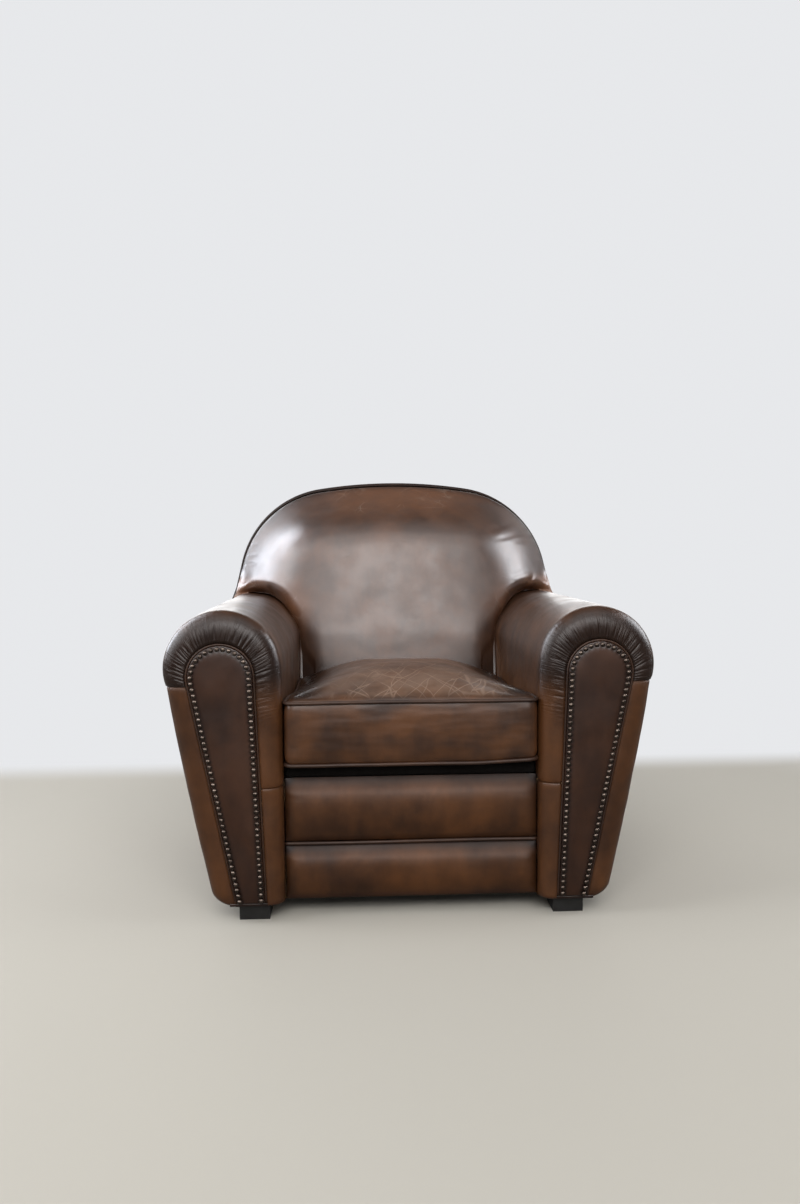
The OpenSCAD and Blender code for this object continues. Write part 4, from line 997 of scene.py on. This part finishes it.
def cushion_outline(d, n=40):
    """Outline of the cushion seen from above, d inside its piping's reach."""
    r, x, y = CORNER_R - d, CUSHION_HALF - d, CUSHION_D / 2 - d
    corners = np.array([(x - r, r - y), (x - r, y - r), (r - x, y - r), (r - x, r - y)])
    parts = []
    for k in range(4):
        out = units(90 * k)
        start, end = corners[k] + r * out, corners[(k + 1) % 4] + r * out
        t = np.linspace(0, 1, n + 1)[1:-1, None]
        parts += [arc(corners[k], r, 90 * k - 90, 90 * k, 8),
                  mix(start, end, t) - DRAW * np.sin(math.pi * t) * out]
    return np.vstack(parts)


def corner_lift(x, y):
    """How far the lower front right corner of the cushion stands off the deck."""
    return 5.0 * smooth((x - 110) / 130) * smooth((-y - 250) / 150)


def side_sag(x, y):
    """How far the cushion's upper edge sinks along its sides, behind its front corners."""
    return SIDE_SAG * smooth((y - CUSHION_FRONT_Y - 20) / 330) * smooth((np.abs(x) - 70) / 165)


def cushion_body():
    """The boxed cushion before it is blown up: rings from the base up and over the top."""
    low, top = CUSHION_LOW_Z, CUSHION_TOP_Z
    levels = [(11.0, low - 2.5), (6.0, low), (3.4, low + 6)]
    levels += [(1.6, z) for z in np.linspace(low + 14, top - 14, 10)]
    levels += [(3.4, top - 6), (6.0, top)]
    layers = [(cushion_outline(11.0) * share, low - 2.8) for share in (0.04, 0.3, 0.6, 0.85)]
    layers += [(cushion_outline(d), z) for d, z in levels]
    edge = cushion_outline(6.0)
    oval = edge / np.linalg.norm(edge / [CUSHION_HALF - 6, CUSHION_D / 2 - 6], axis=1)[:, None]
    for t in np.linspace(0, 88, 40)[1:]:
        s = math.cos(math.radians(t)) ** 0.9
        layers.append((s * mix(oval, edge, s * s), top + DOME * float(crown(s, 2.15))))
    rings = np.array([np.insert(p, 2, z, axis=1) for p, z in layers])
    return from_rings("cushion_leather", rings + [0, CUSHION_MID_Y, 0])


def settle(piece):
    """Makes what the piece's modifiers show its mesh."""
    bpy.context.view_layer.update()
    depsgraph = bpy.context.evaluated_depsgraph_get()
    mesh = bpy.data.meshes.new_from_object(piece.evaluated_get(depsgraph))
    piece.modifiers.clear()
    piece.data = mesh


def modify(piece, kind, **settings):
    modifier = piece.modifiers.new(kind, kind)
    for key, value in settings.items():
        setattr(modifier, key, value)
    settle(piece)


def coords_of(piece):
    co = np.zeros(len(piece.data.vertices) * 3)
    piece.data.vertices.foreach_get("co", co)
    return co.reshape(-1, 3) / MM


def set_coords(piece, co):
    piece.data.vertices.foreach_set("co", (co * MM).ravel())
    piece.data.update()


PRESSURE, CAP, FRAMES = 3.0, 9.0, 20


def blow_up(piece, pinned):
    """Cloth under pressure, pinned where its seams hold it, with no point moving over the cap."""
    start = coords_of(piece)
    group = piece.vertex_groups.new(name="seam")
    for i in np.flatnonzero(pinned > 0.02):
        group.add([int(i)], float(pinned[i]), "REPLACE")
    modifier = piece.modifiers.new("cloth", "CLOTH")
    modifier.collision_settings.use_collision = False
    settings = modifier.settings
    settings.quality = 6
    settings.mass = 0.4
    settings.tension_stiffness = settings.compression_stiffness = 40
    settings.bending_stiffness = 4
    settings.use_pressure = True
    settings.uniform_pressure_force = PRESSURE
    settings.vertex_group_mass = "seam"
    settings.effector_weights.gravity = 0
    for f in range(1, FRAMES + 1):
        bpy.context.scene.frame_set(f)
    settle(piece)
    bpy.context.scene.frame_set(1)
    move = coords_of(piece) - start
    size = np.linalg.norm(move, axis=1)[:, None]
    limit = CAP * np.tanh(size / CAP)
    set_coords(piece, start + move * limit / np.maximum(size, 1e-6))
    piece.vertex_groups.clear()


def seat_cushion():
    piece = cushion_body()
    modify(piece, "REMESH", mode="VOXEL", voxel_size=0.0055)
    co = coords_of(piece)
    gap = gap_to(co[:, :2] - [0, CUSHION_MID_Y], cushion_outline(6.0, 60))
    seam = np.minimum(np.abs(co[:, 2] - CUSHION_LOW_Z), np.abs(co[:, 2] - CUSHION_TOP_Z))
    pinned = np.clip(1.4 - np.hypot(gap, seam) / 8, 0, 1)
    pinned = np.maximum(pinned, (co[:, 2] < CUSHION_LOW_Z - 0.5) * 1.0)
    blow_up(piece, pinned)
    modify(piece, "SUBSURF", levels=1, render_levels=1)
    co = coords_of(piece)
    x, y, z = co.T
    side_t = np.clip((z - CUSHION_LOW_Z) / (CUSHION_TOP_Z - CUSHION_LOW_Z), 0, 1)
    on_top = smooth((z - CUSHION_TOP_Z - 1) / 12)
    front = smooth((CUSHION_FRONT_Y + 30 - y) / 20) * smooth(side_t / 0.1) * smooth((1 - side_t) / 0.1)
    wrinkle = 0.5 * waves(co * [0.5, 1, 2.2], 36, 50.0, 2) * front
    co[:, 1] -= wrinkle + 0.9 * waves(co, 130, 51.0) * front
    co[:, 2] += on_top * (1.2 * waves(co, 120, 52.0) + 0.35 * waves(co, 40, 53.0, 2))
    co[:, 2] += corner_lift(x, y) * (1 - side_t) * (z > CUSHION_LOW_Z - 6)
    co[:, 2] -= side_sag(x, y) * side_t
    set_coords(piece, co)
    middle = np.exp(-((x - 10) / 175) ** 4) * smooth((y - CUSHION_FRONT_Y - 2) / 22)
    worn = (0.5 + 0.35 * waves(co, 60, 55.0)) * middle
    wear_and_painted_light = mix(0.3 + 0.95 * waves(co * [0.8, 1, 1.2], 70, 54.0), worn, on_top)
    # Painted shade: the top darker toward the arms, and the sides darker toward their lower and upper
    # edges
    corner = smooth((np.abs(x - 5) - 140) / 70) * on_top
    low = (0.25 * (1 - smooth(side_t / 0.16)) + 0.3 * smooth((side_t - 0.75) / 0.25)) * (1 - on_top)
    front_edge = (1 - smooth((y - CUSHION_FRONT_Y - 14) / 30)) * on_top
    edge_dark = 0.45 * front_edge * smooth(0.5 + 1.6 * waves(co, 55, 57.0))
    painted_shade_and_blackened = np.maximum(np.clip(0.95 * corner + low, 0, 1), edge_dark)
    net = middle * on_top * (0.35 + 0.65 * (1 - smooth((y + 330) / 230)))
    paint(piece.data, {"wear_and_painted_light": wear_and_painted_light, "painted_shade_and_blackened": painted_shade_and_blackened, "net": net})
    piece.data.shade_smooth()
    piece.data.materials.clear()
    outfit(piece, "leather_cushion", ["seat_cushion"], 0.8, "cushion")


def cushion_piping():
    x, y = (cushion_outline(PIPING_R, 60) + [0, CUSHION_MID_Y]).T
    for level, z, moved in (("low", CUSHION_LOW_Z, corner_lift(x, y)),
                            ("top", CUSHION_TOP_Z, -side_sag(x, y))):
        points = np.stack([x, y, np.full(len(x), z)], 1)
        points[:, 2] += 0.5 * waves(points, 90, 60.0) + moved
        cord(f"cushion_cord_{level}", points, PIPING_R, "cushion_piping", closed=True, body="cushion")


def seat_deck():
    """The lined deck under the cushion, padded and a little crowned at its edges."""
    x, y0, y1, r = SEAT_HALF - 0.6, -381.0, 325.0, 6
    corners = ((x - r, y0 + r), (x - r, y1 - r), (r - x, y1 - r), (r - x, y0 + r))
    loop = even(np.vstack([arc(c, r, 90 * k - 90, 90 * k, 8) for k, c in enumerate(corners)]), 240)
    c = np.array([0.0, (y0 + y1) / 2])
    rings = []
    for s, z in ((0.97, 257.0), (1.0, 261.0), (1.0, 275.0), (0.992, 281.0), (0.97, 284.4),
                 (0.5, 284.9), (0.05, 284.9)):
        limit = rear_y(z) - (BACK_FRAME + 1) / math.cos(LEAN)
        rings.append([[p, min(q, limit), z] for p, q in c + s * (loop - c)])
    dress("seat_deck_cloth", rings, "black_cloth", ["seat_deck"], 0.4)


# Where the feet stand, and how far from their middles the cloth is cut away
FOOT_X, FEET_Y, ROUND_FOOT = 292.0, (-374.0, 313.6), 40


def clear_of_feet(x, y):
    return all(abs(abs(x) - FOOT_X) >= ROUND_FOOT or abs(y - foot_y) >= ROUND_FOOT
               for foot_y in FEET_Y)


def dust_cover():
    """Thin black cloth tacked under the chair, sagging a little between the rails, with
    its corners cut out round the feet."""
    half, y0, y1, n, deepest, thick = 330.0, -381.0, 330.0, 40, 1.6, 0.6
    x, y = np.linspace(-half, half, n), np.linspace(y0, y1, n)
    across = deepest * np.cos(math.pi * x / (2 * half)) ** 0.5
    sag = np.outer(across, np.sin(math.pi * np.arange(n) / (n - 1)) ** 0.5)
    verts = np.array([(x[i], y[j], BASE_Z - 0.2 - sag[i, j] - below)
                      for below in (0, thick) for i in range(n) for j in range(n)])
    kept = {(i, j) for i in range(n - 1) for j in range(n - 1)
            if clear_of_feet((x[i] + x[i + 1]) / 2, (y[j] + y[j + 1]) / 2)}
    faces = []
    for i, j in sorted(kept):
        upper = [n * p + q for p, q in ((i, j), (i + 1, j), (i + 1, j + 1), (i, j + 1))]
        faces += [upper, [k + n * n for k in upper]]
        beside = ((i, j - 1), (i + 1, j), (i, j + 1), (i - 1, j))
        for place, p, q in zip(beside, upper, upper[1:] + upper[:1]):
            if place not in kept:
                faces.append([p, q, q + n * n, p + n * n])
    used, order = np.unique(faces, return_inverse=True)
    piece = make_piece("dust_cover_cloth", verts[used], order.reshape(-1, 4).tolist(), {})
    outfit(piece, "black_cloth", ["dust_cover"])


def zip_tape():
    """The cloth tape of the zip, along the drawn-in rear of the cushion."""
    half, rear_half, wide, teeth = 190, 208, 13, 3
    x = np.linspace(-half, half, 60)
    low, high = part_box("zip_tape")
    drawn = np.cos(np.radians(90 * x / rear_half)) - math.cos(math.radians(90 * half / rear_half))
    y, mid = high.y / MM - 1.2 - DRAW * drawn, (low.z + high.z) / 2 / MM
    section = ((0, -wide), (0.9, -wide), (0.9, -teeth), (1.2, 0), (0.9, teeth), (0.9, wide), (0, wide))
    rings = [[[xi, yi + ahead, mid + up] for ahead, up in section] for xi, yi in zip(x, y)]
    dress("zip_cloth", rings, "zip_tape", ["zip_tape"], body="cushion")


# Stage

SKY = (0.80, 0.81, 0.83, 1)


def add_stage():
    """A floor that fades to the pale backdrop far from the chair and behind it."""
    bm = bmesh.new()
    bmesh.ops.create_circle(bm, cap_ends=True, segments=96, radius=9.0)
    mesh = bpy.data.meshes.new("floor")
    bm.to_mesh(mesh)
    bm.free()
    n = Nodes("floor")
    around = n.add("VectorMath", "Value", {0: n.coords}, operation="LENGTH")
    behind = n.add("SeparateXYZ", "Y", {0: n.coords})
    far = n.math("MAXIMUM", n.spread(around, 1.25, 2.1), n.spread(behind, 0.62, 0.86))
    seen = n.add("LightPath", "Is Camera Ray")
    n.finish(Base_Color=n.blend(seen, (0.3, 0.28, 0.25), (0.53, 0.50, 0.44)), Roughness=0.9,
             Specular_IOR_Level=0.1)
    glow = n.add("Emission", 0, {"Color": SKY})
    surface = n.add("MixShader", 0, {0: n.times(far, seen), 1: n.shader.outputs[0], 2: glow})
    n.set(n.tree.nodes["Material Output"], "Surface", surface)
    mesh.materials.append(n.material)
    add_object("floor", mesh)


def add_lamp(name, place, target, size, watts, colour=(1, 1, 1), shows="both"):
    data = bpy.data.lights.new(name, "AREA")
    data.shape = "RECTANGLE"
    data.size, data.size_y = size
    data.energy = watts
    data.color = colour
    lamp = add_object(name, data)
    lamp.location = place
    lamp.visible_camera = False
    lamp.visible_diffuse, lamp.visible_glossy = shows != "gloss", shows != "diffuse"
    lamp.rotation_euler = (Vector(target) - Vector(place)).to_track_quat("-Z", "Y").to_euler()


def add_world():
    world = bpy.data.worlds.new("studio")
    bpy.context.scene.world = world
    world.use_nodes = True
    tree = world.node_tree
    back = tree.nodes["Background"]
    back.inputs["Color"].default_value = SKY
    path = tree.nodes.new("ShaderNodeLightPath")
    strength = tree.nodes.new("ShaderNodeMix")
    strength.inputs[2].default_value = 0.22
    strength.inputs[3].default_value = 1.0
    tree.links.new(path.outputs["Is Camera Ray"], strength.inputs[0])
    tree.links.new(strength.outputs[0], back.inputs["Strength"])


# The camera as fitted to the photograph: place in metres, angles in degrees, lens and film in mm
CAMERA_PLACE, YAW_PITCH_ROLL, LENS, FILM = (-0.097, -2.100, 0.702), (2.62, 3.93, -0.43), 28.0, 36.0


def add_camera():
    yaw, pitch, roll = (math.radians(a) for a in YAW_PITCH_ROLL)
    ahead = Vector((math.sin(yaw) * math.cos(pitch), math.cos(yaw) * math.cos(pitch), -math.sin(pitch)))
    right = Vector((math.cos(yaw), -math.sin(yaw), 0))
    up = right.cross(ahead)
    right, up = (right * math.cos(roll) + up * math.sin(roll),
                 up * math.cos(roll) - right * math.sin(roll))
    data = bpy.data.cameras.new("camera")
    data.lens, data.sensor_width, data.clip_start = LENS, FILM, 0.05
    camera = add_object("camera", data)
    turn = Matrix((right, up, -ahead)).transposed().to_4x4()
    camera.matrix_world = Matrix.Translation(CAMERA_PLACE) @ turn
    bpy.context.scene.camera = camera


def dress_frame():
    """Every rigid solid that still shows takes its slot's material."""
    slots = {row["node"]: row["material_slot"] for row in frame["record"]["subparts"]}
    for node, obj in frame["nodes"].items():
        obj.data.materials.clear()
        obj.data.materials.append(MATERIALS[slots[node]])


add_camera()
add_world()
add_stage()
# Place, target, size, watts, colour and what the lamp lights
SOFT, LEFT, RIGHT = (0.93, 0.96, 1), (-0.35, 0.2, 0.7), (0.35, 0.2, 0.7)
add_lamp("above", (0, -0.6, 3.0), (0, 0, 0.5), (3.0, 2.0), 14)
add_lamp("front", (0, -3.4, 2.7), (0, 0, 0.6), (3.6, 2.0), 98, shows="diffuse")
add_lamp("fill", (0, -4.6, 1.0), (0, 0, 0.5), (4.0, 1.4), 8)
add_lamp("left", (-2.4, -0.6, 1.8), (-0.3, 0.1, 0.6), (1.6, 1.6), 40, SOFT)
add_lamp("right", (2.4, -0.6, 1.8), (0.3, 0.1, 0.6), (1.6, 1.6), 22, SOFT)
add_lamp("behind", (-0.4, 3.4, 1.35), (0, 0, 0.5), (5.0, 2.4), 72)
# Reflections of the room and its windows, which add to the gloss alone
add_lamp("room", (0, -3.3, 2.15), (0, 0.2, 0.6), (4.2, 2.4), 72, shows="gloss")
add_lamp("sheen", (0, -3.25, 2.3), (0, 0.2, 0.6), (3.2, 1.6), 62, shows="gloss")
add_lamp("glow", (0, -3.2, 2.3), (0, 0.2, 0.6), (2.2, 0.9), 22, shows="gloss")
add_lamp("ceiling", (0, -1.9, 3.4), (0, 0.25, 0.75), (4.0, 1.6), 48, shows="gloss")
add_lamp("rear_wall", (0, 3.2, 1.2), (0, 0, 0.5), (5.0, 2.2), 60, shows="gloss")
add_lamp("wall_left", (-2.4, -1.0, 1.7), LEFT, (2.4, 2.0), 72, (0.95, 0.97, 1), "gloss")
add_lamp("window_left", (-2.4, 0.8, 1.9), LEFT, (1.3, 2.4), 175, (0.86, 0.91, 1), "gloss")
add_lamp("window_right", (2.4, 0.25, 1.6), RIGHT, (1.5, 1.3), 78, (0.92, 0.95, 1), "gloss")
bpy.context.scene.view_settings.view_transform = "Standard"

dress_frame()
for side in (-1, 1):
    for make in (arm_top, arm_outside, arm_inner_strip, facing, facing_base, facing_piping,
                 nail_heads, arm_welt):
        make(side)
inside_back()
back_border()
outside_back()
back_welt()
front_roll("front_roll_high", "front_roll_upper", 139.9, 260.0, 70.0)
front_roll("front_roll_low", "front_roll_lower", 31.0, 132.1, 80.0)
front_welt()
seat_deck()
dust_cover()
seat_cushion()
cushion_piping()
zip_tape()
